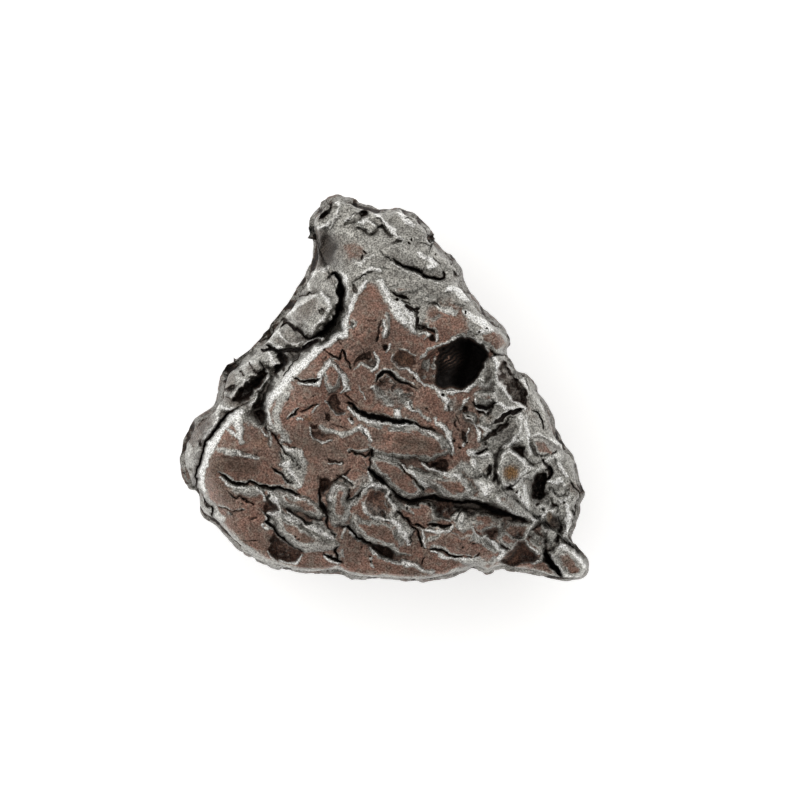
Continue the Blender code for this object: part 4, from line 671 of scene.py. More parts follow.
    (0.95, [(377, 217, 2), (384, 222, 2.2), (391, 229, 2), (397, 236, 1.8), (403, 241, 1.6)]),
    (0.8, [(359, 224, 2.4), (368, 222, 3), (373, 227, 2.4)]),
    (0.8, [(318, 227, 2), (327, 224, 2.6), (336, 218, 3), (338, 208, 2.6), (337, 201, 2)]),
    (0.8, [(346, 222, 1.8), (352, 217, 2), (358, 211, 1.8), (366, 208, 1.4)]),
    (0.85, [(340, 217, 1.5), (334, 224, 1.6), (329, 229, 1.2)]),
    (0.6, [(318, 217, 2), (319, 209, 2), (324, 203, 1.8)]),
    (0.9, [(316, 270, 3), (325, 272, 3), (330, 267, 2), (310, 276, 3)]),
    (0.8, [(344, 272, 2), (348, 280, 3), (346, 290, 3), (346, 300, 2.4)]),
    (0.6, [(354, 262, 3), (362, 265, 3), (372, 256, 3)]),
    # left flank
    (0.9, [(301, 282, 2), (308, 284, 2.8), (309, 290, 2.4)]),
    (0.9, [(288, 315, 1.6), (296, 308, 1.8), (305, 302, 1.8), (315, 297, 1.4)]),
    (0.9, [(322, 294, 2.6), (328, 300, 3), (331, 308, 2.6), (326, 312, 2)]),
    (0.85, [(327, 316, 2.4), (322, 322, 3), (314, 329, 3), (311, 334, 2)]),
    (0.9, [(264, 343, 1.4), (272, 336, 1.8), (280, 328, 1.6)]),
    (0.95, [(280, 330, 0.8), (284, 338, 0.9), (292, 343, 0.9), (302, 343, 0.9)]),
    (0.9, [(268, 342, 1.2), (276, 347, 1.4), (286, 350, 1.2), (296, 347, 1)]),
    (0.95, [(303, 347, 1.4), (312, 341, 1.5), (323, 337, 1.4)]),
    (0.85, [(270, 352, 2), (274, 359, 2.4), (276, 366, 2)]),
    (1.0, [(268, 372, 1.8), (270, 378, 2), (271, 383, 1.2)]),
    (1.0, [(249, 406, 1.4), (255, 399, 1.7), (260, 391, 1.9), (263, 385, 1.4)]),
    (0.7, [(247, 400, 0.8), (252, 394, 0.9), (257, 389, 0.8)]),
    (0.9, [(237, 379, 1.2), (244, 381, 1.3), (251, 380, 0.8)]),
    (0.8, [(222, 375, 2), (220, 383, 2), (223, 391, 1.4)]),
    (0.7, [(242, 366, 1.8), (249, 361, 2), (257, 360, 1.6)]),
    (0.5, [(288, 372, 1.6), (294, 362, 1.6), (302, 353, 1.6)]),
    (0.7, [(188, 430, 1.6), (194, 420, 1.8), (203, 412, 1.8), (211, 408, 1.6)]),
    (0.6, [(204, 425, 2), (200, 436, 2.4), (194, 446, 2.4), (190, 456, 2)]),
]

# darker, duller skin, patina and painted shade: strength, then the path of (u, v, half width)
PATINA_AND_SHADE = [
    (0.75, [(214, 468, 6), (226, 463, 8), (240, 466, 8), (254, 470, 5)]), (0.35, [(222, 487, 6), (232, 500, 6)]),
    (0.70, [(400, 441, 8), (418, 444, 10), (436, 447, 7)]), (0.30, [(380, 435, 6), (395, 440, 8)]),
    (0.85, [(351, 406, 2.5), (362, 412, 4), (376, 416, 4.5), (392, 418, 4), (408, 421, 2.5)]),
    (0.40, [(362, 298, 9), (366, 318, 12), (368, 338, 8)]), (0.45, [(440, 300, 5), (456, 303, 5)]),
    (0.85, [(404, 499, 3), (420, 498, 4), (440, 500, 6), (460, 503, 6), (478, 506, 5)]),
    (0.60, [(474, 513, 7), (488, 514, 6), (502, 520, 5), (515, 523, 4)]), (0.45, [(506, 528, 7), (520, 527, 6)]),
    (0.40, [(376, 563, 3), (400, 569, 3.5), (430, 574, 3.5)]), (0.30, [(305, 470, 9), (318, 490, 9), (310, 455, 8)]),
    (0.45, [(300, 445, 8), (330, 450, 8), (360, 447, 6)]), (0.50, [(305, 536, 4), (318, 542, 4), (330, 545, 3)]),
    (0.45, [(372, 528, 4), (388, 533, 5), (398, 541, 4)]), (0.35, [(290, 500, 5), (306, 505, 4)]),
    (0.35, [(395, 472, 5), (408, 484, 5)]), (0.45, [(360, 545, 5), (352, 560, 6), (340, 556, 4)]),
    (0.35, [(440, 482, 4), (456, 487, 5)]), (0.40, [(262, 548, 5), (256, 530, 5)]), (0.35, [(300, 566, 4), (330, 566, 4)]),
    (0.95, [(314, 232, 6), (322, 244, 13), (326, 258, 12), (318, 266, 8)]), (0.60, [(338, 240, 6), (342, 254, 7)]),
    (0.55, [(328, 274, 4), (333, 282, 4)]), (0.50, [(352, 246, 7), (358, 256, 6), (349, 262, 5)]),
    (0.75, [(304, 310, 7), (311, 304, 6), (308, 316, 6)]), (0.7, [(296, 317, 4), (301, 323, 4)]),
    (0.75, [(277, 341, 4), (287, 344, 4)]), (0.6, [(250, 369, 5), (257, 366, 5)]), (0.8, [(229, 382, 5), (233, 374, 4)]),
    (0.8, [(222, 399, 3), (235, 403, 3.5), (248, 406, 3)]), (0.65, [(258, 414, 4), (252, 410, 4)]),
    (0.7, [(192, 436, 6), (200, 424, 6)]), (0.6, [(300, 290, 3), (288, 306, 3), (275, 322, 3), (262, 338, 3)]),
    (0.55, [(500, 434, 7), (508, 427, 7)]), (0.5, [(486, 368, 4), (486, 378, 4)]), (0.6, [(548, 413, 4), (550, 425, 4)]),
    (0.6, [(572, 486, 5), (577, 494, 4)]), (0.5, [(541, 443, 5), (549, 449, 5)]), (0.4, [(566, 563, 6), (574, 569, 4)]),
    (0.5, [(508, 500, 4), (514, 508, 3)]), (0.7, [(482, 470, 3), (484, 467, 3)]), (0.5, [(560, 470, 3)] * 2),
]

# small gaps and holes, cut in and painted black as shade and dirt: strength, then the path of (u, v, half width)
GAPS = [
    (1.0, [(282, 353, 2.4), (284, 360, 3.4), (282, 368, 3.6), (278, 374, 2)]),
    (1.0, [(262, 350, 1.6), (272, 350, 1), (284, 352, 1.6), (298, 350, 1.8), (306, 347, 1)]),
    (1.0, [(261, 373, 3), (262, 379, 4), (256, 384, 4)]),
    (0.9, [(253, 405, 1.2), (259, 405, 1.6), (263, 403, 1)]),
    (0.9, [(264, 412, 1.2), (263, 420, 1.4)]),
    (0.9, [(283, 323, 1), (289, 325, 1.8), (296, 330, 2), (303, 334, 1.4), (309, 340, 1.3)]),
    (0.9, [(305, 346.5, 0.8), (312, 344.5, 1.3), (319, 343, 1)]),
    (0.8, [(321, 309, 1.3), (325, 312, 1.5)]), (0.8, [(303, 285, 1.2), (301, 291, 1)]),
    (0.9, [(250, 361, 1), (253, 369, 1.4), (258, 374, 1.4)]), (0.8, [(241, 372, 1.2), (244, 376, 1.2)]),
    (0.9, [(224, 388, 1.5), (229, 388, 1.8), (232, 391, 1.6)]), (0.8, [(204, 430, 1), (201, 438, 2), (203, 444, 1.2)]),
    (0.8, [(393, 293, 1), (400, 295.5, 1.6), (406, 298, 1.2)]), (0.8, [(407, 308, 1), (413, 310.5, 1.6), (418, 310, 1)]),
    (0.8, [(417, 318, 1), (419, 326, 1.6), (425, 327, 1.8)]), (0.7, [(428, 329, 0.8), (434, 335, 0.9)]),
    (1.0, [(378, 376, 1), (384, 372.5, 1.4), (391, 374, 1.8), (398, 379.5, 1.8), (406, 385, 1.2)]),
    (0.8, [(381, 379, 1.3), (383, 385, 1.4)]), (0.8, [(394, 385, 1.5), (392, 391, 1.2)]), (0.7, [(390, 400, 1)] * 2),
    (0.9, [(370, 454, 1.2), (373, 450, 1)]), (1.0, [(485, 506, 2), (492, 509, 3.6), (500, 513, 3), (507, 516, 1.6)]),
    (0.9, [(488, 466, 1.6), (488.5, 472, 2), (485, 475, 1)]), (0.9, [(493, 480, 1.2), (495, 474, 0.9)]),
    (0.9, [(507, 488, 1.6), (511, 489, 1.2)]), (0.8, [(476, 454, 1), (483, 450, 1.1), (487, 448, 0.8)]),
    (0.9, [(543, 462, 1), (548, 468, 2), (549, 474, 2)]), (0.9, [(552, 454, 0.8), (557, 452, 1)]),
    (0.9, [(535, 514, 1.4), (538, 518, 1.2)]), (0.8, [(545, 523, 1.2), (550, 526, 1.6), (556, 528, 1.8)]),
    (0.8, [(535, 526, 1), (533, 531, 1.2)]), (0.8, [(550, 500, 1), (556, 506, 1.3)]), (0.8, [(573, 540, 1), (579, 549, 1.2)]),
    (0.8, [(577, 500, 1), (575, 512, 1.2), (572, 522, 1)]), (0.8, [(560, 540, 1), (567, 543, 1.2)]),
    (0.9, [(478, 404, 1.4), (484, 406, 1.8), (492, 407, 1.6)]), (0.8, [(479, 411, 1.2), (483, 411.5, 1)]),
    (0.8, [(488, 413, 1.6), (491, 411, 1.2)]), (0.9, [(484, 441, 1.6), (489, 436, 1.5), (496, 431, 1)]),
    (0.9, [(494, 425, 1), (502, 419, 1.5), (511, 413.5, 1.7), (520, 409.5, 1.3)]), (0.8, [(498, 430, 0.8), (506, 423, 1.2)]),
    (0.7, [(462, 432, 1.2), (464, 440, 1.6), (467, 442, 1)]), (0.8, [(463, 407, 1.4), (466, 408, 1)]),
    (0.7, [(449, 406, 1), (450, 410, 1)]), (0.6, [(455, 420, 0.7), (457, 427, 0.7)]),
]


# ------------------------------------------------------------------------------------------------------------
# small numeric helpers
# ------------------------------------------------------------------------------------------------------------
def smooth(t):
    t = np.clip(t, 0.0, 1.0)
    return t * t * (3.0 - 2.0 * t)


def near(u, v, pts, reach):
    """Indices of the points within reach of a stroke's box."""
    p = np.asarray(pts, float)
    return np.nonzero((u > p[:, 0].min() - reach) & (u < p[:, 0].max() + reach)
                      & (v > p[:, 1].min() - reach) & (v < p[:, 1].max() + reach))[0]


def path_field(u, v, pts):
    """Distance to a path, the side (+1 right), and the width interpolated along it."""
    best = np.full(u.shape, 1e9)
    side = np.zeros(u.shape)
    wide = np.zeros(u.shape)
    for a, b in zip(pts[:-1], pts[1:]):
        dx, dy = b[0] - a[0], b[1] - a[1]
        t = np.clip(((u - a[0]) * dx + (v - a[1]) * dy) / (dx * dx + dy * dy + 1e-12), 0.0, 1.0)
        d = np.hypot(u - a[0] - t * dx, v - a[1] - t * dy)
        hit = d < best
        best = np.where(hit, d, best)
        side = np.where(hit, np.sign((v - a[1]) * dx - (u - a[0]) * dy), side)
        if len(a) > 2:
            wide = np.where(hit, a[2] + t * (b[2] - a[2]), wide)
    return best, side, wide


def poly_field(u, v, pts):
    """Signed distance to a polygon, positive inside."""
    best = np.full(u.shape, 1e9)
    inside = np.zeros(u.shape, bool)
    n = len(pts)
    for i in range(n):
        ax, ay = pts[i]
        bx, by = pts[(i + 1) % n]
        dx, dy = bx - ax, by - ay
        t = np.clip(((u - ax) * dx + (v - ay) * dy) / (dx * dx + dy * dy + 1e-12), 0.0, 1.0)
        best = np.minimum(best, np.hypot(u - ax - t * dx, v - ay - t * dy))
        if dy != 0.0:
            cross = ((ay > v) != (by > v)) & (u < ax + (v - ay) / dy * dx)
            inside ^= cross
    return np.where(inside, best, -best)


rng = np.random.default_rng(20240611)
LATTICE = rng.random((64, 64, 64)).astype(np.float32)


def value_noise(p):
    """Smooth lattice noise in -1..1 at the points p (n by 3)."""
    q = np.floor(p)
    f = p - q
    f = f * f * f * (f * (f * 6 - 15) + 10)
    i = q.astype(np.int64) & 63
    j = (i + 1) & 63
    x0, y0, z0 = i.T
    x1, y1, z1 = j.T
    fx, fy, fz = f.T
    c00 = LATTICE[x0, y0, z0] * (1 - fx) + LATTICE[x1, y0, z0] * fx
    c10 = LATTICE[x0, y1, z0] * (1 - fx) + LATTICE[x1, y1, z0] * fx
    c01 = LATTICE[x0, y0, z1] * (1 - fx) + LATTICE[x1, y0, z1] * fx
    c11 = LATTICE[x0, y1, z1] * (1 - fx) + LATTICE[x1, y1, z1] * fx
    return ((c00 * (1 - fy) + c10 * fy) * (1 - fz) + (c01 * (1 - fy) + c11 * fy) * fz) * 2.0 - 1.0


def fractal(p, octaves, gain=0.5):
    out, amp, total = 0.0, 1.0, 0.0
    for k in range(octaves):
        out = out + amp * value_noise(p * 2.03 ** k + 17.3 * k)
        total += amp
        amp *= gain
    return out / total


def warp(p, scale, amount, salt):
    return p + amount * np.stack([value_noise(p * scale + salt + 31.7 * k) for k in range(3)], axis=1)


CELLS = rng.random((32, 32, 32, 4)).astype(np.float32)


def cells(p, stretch=(1.0, 1.0, 1.0)):
    """Nearest and second nearest feature distances and the nearest cell's own random number."""
    p = p * np.asarray(stretch)
    base = np.floor(p).astype(np.int64)
    f1 = np.full(len(p), 9.0)
    f2 = np.full(len(p), 9.0)
    own = np.zeros(len(p))
    for dx in (-1, 0, 1):
        for dy in (-1, 0, 1):
            for dz in (-1, 0, 1):
                c = base + (dx, dy, dz)
                r = CELLS[c[:, 0] & 31, c[:, 1] & 31, c[:, 2] & 31]
                d = np.sqrt((((c + 0.15 + 0.7 * r[:, :3]) - p) ** 2).sum(axis=1))
                closer = d < f1
                f2 = np.where(closer, f1, np.minimum(f2, d))
                f1 = np.where(closer, d, f1)
                own = np.where(closer, r[:, 3], own)
    return f1, f2, own


def fit_heights(points):
    p = np.array(points, float)
    uv, h = p[:, :2] / 100.0, p[:, 2]
    n = len(p)
    r = np.hypot(uv[:, None, 0] - uv[None, :, 0], uv[:, None, 1] - uv[None, :, 1])
    a = np.zeros((n + 3, n + 3))
    a[:n, :n] = r ** 3 + np.eye(n) * 0.004
    a[:n, n] = a[n, :n] = 1.0
    a[:n, n + 1:] = uv
    a[n + 1:, :n] = uv.T
    w = np.linalg.solve(a, np.concatenate([h, np.zeros(3)]))

    # tabulated on a 4-unit grid and read back with a cubic, because it is smooth
    gu, gv = np.meshgrid(np.arange(160.0, 616.0, 4.0), np.arange(176.0, 608.0, 4.0))
    out = w[n] + w[n + 1] * gu / 100.0 + w[n + 2] * gv / 100.0
    for k in range(n):
        out = out + w[k] * np.hypot(gu / 100.0 - uv[k, 0], gv / 100.0 - uv[k, 1]) ** 3

    def height(u, v):
        x, y = (u - 160.0) / 4.0, (v - 176.0) / 4.0
        i, j = np.clip(np.floor(x).astype(int), 1, out.shape[1] - 3), np.clip(np.floor(y).astype(int), 1,
                                                                            out.shape[0] - 3)
        fx, fy = x - i, y - j

        def weights(t):
            return (((-0.5 * t + 1.0) * t - 0.5) * t, (1.5 * t - 2.5) * t * t + 1.0,
                    ((-1.5 * t + 2.0) * t + 0.5) * t, (0.5 * t - 0.5) * t * t)

        wx, wy = weights(fx), weights(fy)
        total = 0.0
        for b in range(4):
            row = sum(wx[c] * out[j + b - 1, i + c - 1] for c in range(4))
            total = total + wy[b] * row
        return total

    return height


def closed_spline(points, steps):
    """Points on a smooth closed curve through the given ones."""
    p = np.array(points, float)
    a, b, c, d = np.roll(p, 1, 0), p, np.roll(p, -1, 0), np.roll(p, -2, 0)
    out = []
    for k in range(steps):
        t = k / steps
        out.append(0.5 * (2 * b + (c - a) * t + (2 * a - 5 * b + 4 * c - d) * t * t
                          + (3 * b - a - 3 * c + d) * t ** 3))
    return np.stack(out, axis=1).reshape(-1, 2)


# ------------------------------------------------------------------------------------------------------------
# the front face
# ------------------------------------------------------------------------------------------------------------
HEIGHT_OF = fit_heights(HEIGHTS)


def deep_pit(u, v):
    """The large deep pit: shallow on its left, ledges in the middle, nearly bottomless on its right."""
    outline = [(420, 363), (423, 358), (428, 354), (437, 348), (447, 345), (452, 341), (460, 338.5), (470, 338.5),
               (477, 341), (484, 346), (489.5, 352), (489.5, 357), (485.5, 363), (482, 370), (479, 377),
               (474, 384.5), (466, 388.5), (455, 389.5), (442, 389.5), (432, 386.5), (422, 381.5), (417, 372)]
    d = poly_field(u, v, outline)
    x = u + 0.18 * (v - 362)
    far = 0.30 * smooth((x - 437.0) / 4.0) + 0.70 * smooth((x - 450.0) / 20.0)
    depth = 10.0 + 46.0 * far
    across = 0.55 * u + 0.83 * v
    folds = np.sin(across * 1.75 + 1.2 * np.sin(u * 0.21))
    lit = np.exp(-(((u - 450) / 13.0) ** 2 + ((v - 360) / 11.0) ** 2))
    sunk = (depth - 15.0 * lit - 2.4 * folds * lit) * smooth(d / 4.5) ** 0.8
    return np.where(d > 0, sunk, 0.0), d


def drawn_fields(u, v):
    """Relief in drawing units and the masks drawn with it, at positions u, v."""
    n = len(u)
    relief = np.zeros(n)
    cut = np.zeros(n)
    bevel_drop = np.zeros(n)
    dirt_and_shade = np.zeros(n)
    lip = np.zeros(n)
    rough = np.zeros(n)
    brown = np.zeros(n)
    silver = np.zeros(n)
    brown_floor = np.zeros(n)

    for poly, strength, soft in BROWN:
        i = near(u, v, poly, soft)
        d = poly_field(u[i], v[i], poly)
        brown[i] = np.maximum(brown[i], strength * smooth(d / soft * 0.5 + 0.5))
    for poly, strength, soft, grit in SILVER:
        i = near(u, v, poly, soft)
        d = poly_field(u[i], v[i], poly)
        m = smooth(d / soft * 0.5 + 0.5)
        silver[i] = np.maximum(silver[i], strength * m)
        rough[i] = np.maximum(rough[i], grit * m)

    fade = value_noise(np.stack([u / 19.0, v / 19.0, np.full(n, 7.7)], axis=1))
    for poly, rise, edge, tint in LOBES:
        i = near(u, v, poly, edge * 0.4)
        d = poly_field(u[i], v[i], poly)
        t = (d + 0.35 * edge) / (1.35 * edge)
        relief[i] += rise * (1.6 + 0.7 * fade[i]) * smooth(t) ** 0.8
        top = smooth((d - 0.35 * edge) / (0.55 * edge))
        inside = d > 0
        brown[i] = np.where(inside, brown[i] * (1 - top) + np.maximum(brown[i] * 0.8, tint) * top, brown[i])
        silver[i] = np.where(inside, silver[i] * (1 - 0.8 * top * (tint > 0.5)), silver[i])

    for path, half, rise in RIDGES:
        i = near(u, v, path, half * 1.5)
        d, _, _ = path_field(u[i], v[i], path)
        top = 1.0 - smooth(d / (half * 1.4))
        relief[i] += rise * top
        lip[i] = np.maximum(lip[i], 0.6 * top)

    for path, drop, reach, lip_width in STEPS:
        i = near(u, v, path, reach + lip_width)
        d, side, share = path_field(u[i], v[i], path)
        signed = d * side
        fall = smooth((signed + lip_width * 0.5) / lip_width)
        back = np.where(signed > 0, 1.0 - smooth(signed / reach), 1.0)
        end = 1.0 - smooth((d - reach * 0.8) / (reach * 0.2 + 1e-6))
        relief[i] -= drop * share * fall * back * end

    for cu, cv, ru, rv, turn, depth in HOLLOWS:
        c, s = math.cos(math.radians(turn)), math.sin(math.radians(turn))
        i = near(u, v, [(cu - max(ru, rv), cv - max(ru, rv)), (cu + max(ru, rv), cv + max(ru, rv))], 10)
        du, dv = u[i] - cu, v[i] - cv
        q = np.hypot((du * c + dv * s) / ru, (-du * s + dv * c) / rv)
        relief[i] -= depth * (1.0 - smooth(q / 1.25))

    for path, depth, left, right in CUTS:
        widest = max(p[2] for p in path)
        i = near(u, v, path, widest * 2 + max(left[0], right[0]) * 2.5)
        d, side, w = path_field(u[i], v[i], path)
        share = np.clip(w / (0.62 * widest), 0.0, 1.0)
        w = w * (0.50 if depth < 9.5 else 0.60 if depth < 18 else 0.85)
        q = d / np.maximum(w, 0.45)
        core = depth * (0.75 if depth < 16 else 1.0) * share * (1.0 - smooth((q - 0.10) / 0.95))
        bw = np.where(side > 0, right[0], left[0]) * (0.8 + 0.7 * share)
        bd = np.where(side > 0, right[1], left[1]) * share * 1.1
        t = np.clip((d - 0.5 * w) / np.maximum(bw, 0.5), 0.0, 1.0)
        slope = bd * (1.0 - np.sqrt(1.0 - (1.0 - t) ** 2)) * 1.3
        cut[i] = np.maximum(cut[i], core)
        bevel_drop[i] = np.maximum(bevel_drop[i], slope)
        # crack cores painted dark, darker for deeper cuts: dirt and painted shade
        dirt_and_shade[i] = np.maximum(dirt_and_shade[i], share ** 0.5 * (1.0 - smooth((q - 0.35) / 0.7)) * min(0.95, depth / 13.0))

    for poly, depth, wall, grit, floor in PITS:
        i = near(u, v, poly, 4.0)
        d = poly_field(u[i], v[i], poly)
        core = depth * smooth(d / wall + 0.12) * (d > -0.12 * wall)
        cut[i] = np.maximum(cut[i], core)
        inside = smooth(d / (wall * 0.5) + 0.3)
        middle = smooth((d - 0.8 * wall) / 3.0)
        # pit walls and floors painted dark: dirt and painted shade
        dirt_and_shade[i] = np.maximum(dirt_and_shade[i], inside * (1 - 0.45 * middle) * min(0.9, depth / 18.0) * (1.0 - 0.7 * floor))
        brown_floor[i] = np.maximum(brown_floor[i], inside * floor)
        rough[i] = np.maximum(rough[i], max(grit, 0.8) * 0.8 * inside)
        outer = (1.0 - smooth((-d) / 4.0)) * (d <= 0)
        bevel_drop[i] = np.maximum(bevel_drop[i], 1.4 * outer)

    for cu, cv, r, depth in DOTS:
        i = near(u, v, [(cu, cv), (cu, cv)], r * 1.6)
        q = np.hypot(u[i] - cu, v[i] - cv) / r
        cut[i] = np.maximum(cut[i], depth * (1.0 - smooth(q - 0.15)))
        # small round pits painted dark: dirt and painted shade
        dirt_and_shade[i] = np.maximum(dirt_and_shade[i], (1.0 - smooth((q - 0.3) / 0.7)) * 0.85)

    wear_and_highlight, patina_and_shade = np.zeros(n), np.zeros(n)
    # edges and lips painted bright (worn metal and painted highlight) and raised a little
    for strength, path in WEAR_AND_HIGHLIGHT:
        i = near(u, v, path, 8.0)
        d, _, w = path_field(u[i], v[i], path)
        q = d / (w + 0.6)
        wear_and_highlight[i] = np.maximum(wear_and_highlight[i], strength * (1.0 - smooth((q - 0.30) / 0.95)))
        relief[i] += strength * np.minimum(w, 3.0) * 0.55 * (1.0 - smooth(q / 1.3))
    # darker patches: patina and painted shade
    for strength, path in PATINA_AND_SHADE:
        i = near(u, v, path, 20.0)
        d, _, w = path_field(u[i], v[i], path)
        patina_and_shade[i] = np.maximum(patina_and_shade[i], strength * (1.0 - smooth((d / w - 0.35) / 1.0)))
    for strength, path in GAPS:
        i = near(u, v, path, 6.0)
        d, _, w = path_field(u[i], v[i], path)
        m = 1.0 - smooth((d / w - 0.45) / 0.75)
        cut[i] = np.maximum(cut[i], 7.0 * strength * m)
        # gaps painted black: painted shade and dirt
        dirt_and_shade[i] = np.maximum(dirt_and_shade[i], strength * m)
        wear_and_highlight[i] *= 1.0 - m

    # inside the deep pit: painted shade, less on its left and where its floor is lit (painted light), and a painted
    # highlight on its shallow left part
    sunk, d = deep_pit(u, v)
    cut = np.maximum(cut, sunk)
    inside = smooth(d / 2.5)
    left = 1.0 - smooth((u + 0.18 * (v - 362) - 435.0) / 5.0)
    across = 0.55 * u + 0.83 * v
    folds = smooth(np.sin(across * 1.75 + 1.2 * np.sin(u * 0.21)) * 0.9 + 0.1)
    lit = np.exp(-(((u - 450) / 12.0) ** 2 + ((v - 359) / 12.0) ** 2)) * (1.0 - left)
    dirt_and_shade = np.maximum(dirt_and_shade, inside * (1.0 - 0.80 * left - 0.75 * lit * folds))
    brown_floor = np.maximum(brown_floor, inside * lit * 0.8)
    wear_and_highlight = np.maximum(wear_and_highlight, inside * left * 0.55 * smooth((value_noise(np.stack([u / 3.7, v / 3.7, 0 * u + 4.4],
                                                                                 axis=1)) + 0.2) / 0.5))
    rough = np.maximum(rough, inside * 0.9 * left)
    bevel_drop = np.maximum(bevel_drop, 1.5 * (1.0 - smooth(-d / 3.5)) * (d <= 0))

    ochre = np.zeros(n)
    for cu, cv, ru, rv, s in OCHRE:
        q = np.hypot((u - cu) / ru, (v - cv) / rv)
        ochre = np.maximum(ochre, s * (1.0 - smooth((q - 0.45) / 0.7)))
    # dark grey patches: painted shade and patina
    grey_shade_and_patina = np.zeros(n)
    for cu, cv, ru, rv, s in GREY_SHADE_AND_PATINA:
        q = np.hypot((u - cu) / ru, (v - cv) / rv)
        grey_shade_and_patina = np.maximum(grey_shade_and_patina, s * (1.0 - smooth((q - 0.4) / 0.8)))

    return dict(relief=relief - bevel_drop, cut=cut, wear_and_highlight=wear_and_highlight, patina_and_shade=patina_and_shade, brown=brown, silver=silver, dirt_and_shade=dirt_and_shade, lip=lip, rough=rough,
                floor=brown_floor, ochre=ochre, grey_shade_and_patina=grey_shade_and_patina)


# ------------------------------------------------------------------------------------------------------------
# the whole surface
# ------------------------------------------------------------------------------------------------------------
class Shell:
    """Wraps a sphere's points round the lump."""

    def __init__(self):
        ring = closed_spline(OUTLINE, 8) - (HUB_U, HUB_V)
        ang = np.arctan2(ring[:, 1], ring[:, 0])
        order = np.argsort(ang)
        self.ang, self.rad = ang[order], np.hypot(*ring.T)[order]
        # distance to the outline over distance left along the ray, tabulated by angle and by share of the radius
        self.n_a, self.n_f = 1440, 48
        a = np.linspace(-math.pi, math.pi, self.n_a, endpoint=False)
        f = np.concatenate([np.linspace(0.0, 0.9, self.n_f - 12), np.linspace(0.912, 0.9995, 12)])
        self.f_grid = f
        r = self.radius(a)
        uu = (f[None, :] * r[:, None] * np.cos(a)[:, None]).ravel()
        vv = (f[None, :] * r[:, None] * np.sin(a)[:, None]).ravel()
        seg_a = ring
        seg_b = np.roll(ring, -1, axis=0)
        best = np.full(uu.shape, 1e18)
        for s in range(0, len(seg_a), 16):
            A, B = seg_a[s:s + 16], seg_b[s:s + 16]
            D = B - A
            L = (D ** 2).sum(1) + 1e-12
            for k in range(len(A)):
                t = np.clip(((uu - A[k, 0]) * D[k, 0] + (vv - A[k, 1]) * D[k, 1]) / L[k], 0.0, 1.0)
                best = np.minimum(best, (uu - A[k, 0] - t * D[k, 0]) ** 2 + (vv - A[k, 1] - t * D[k, 1]) ** 2)
        dist = np.sqrt(best).reshape(self.n_a, self.n_f)
        self.k = dist / ((1.0 - f)[None, :] * r[:, None])

    def radius(self, a):
        ang = np.concatenate([self.ang - 2 * math.pi, self.ang, self.ang + 2 * math.pi])
        return np.interp(a, ang, np.tile(self.rad, 3))

    def edge_distance(self, a, f, r):
        x = (a + math.pi) / (2 * math.pi) * self.n_a
        i = np.floor(x).astype(int)
        fx = x - i
        i0, i1 = i % self.n_a, (i + 1) % self.n_a
        j = np.clip(np.searchsorted(self.f_grid, f, side="right") - 1, 0, self.n_f - 2)
        fy = np.clip((f - self.f_grid[j]) / (self.f_grid[j + 1] - self.f_grid[j]), 0.0, 1.0)
        k = ((self.k[i0, j] * (1 - fx) + self.k[i1, j] * fx) * (1 - fy)
             + (self.k[i0, j + 1] * (1 - fx) + self.k[i1, j + 1] * fx) * fy)
        return k * (1.0 - f) * r


SHELL = Shell()


def crown_of(a, edge):
    """0 at the widest line, 1 where the face is fully up."""
    x = np.minimum(edge / np.interp(np.degrees(a), *np.array(ROUNDING, float).T), 1.0)
    return np.sqrt(np.clip(1.0 - (1.0 - x) ** 2, 0.0, 1.0))


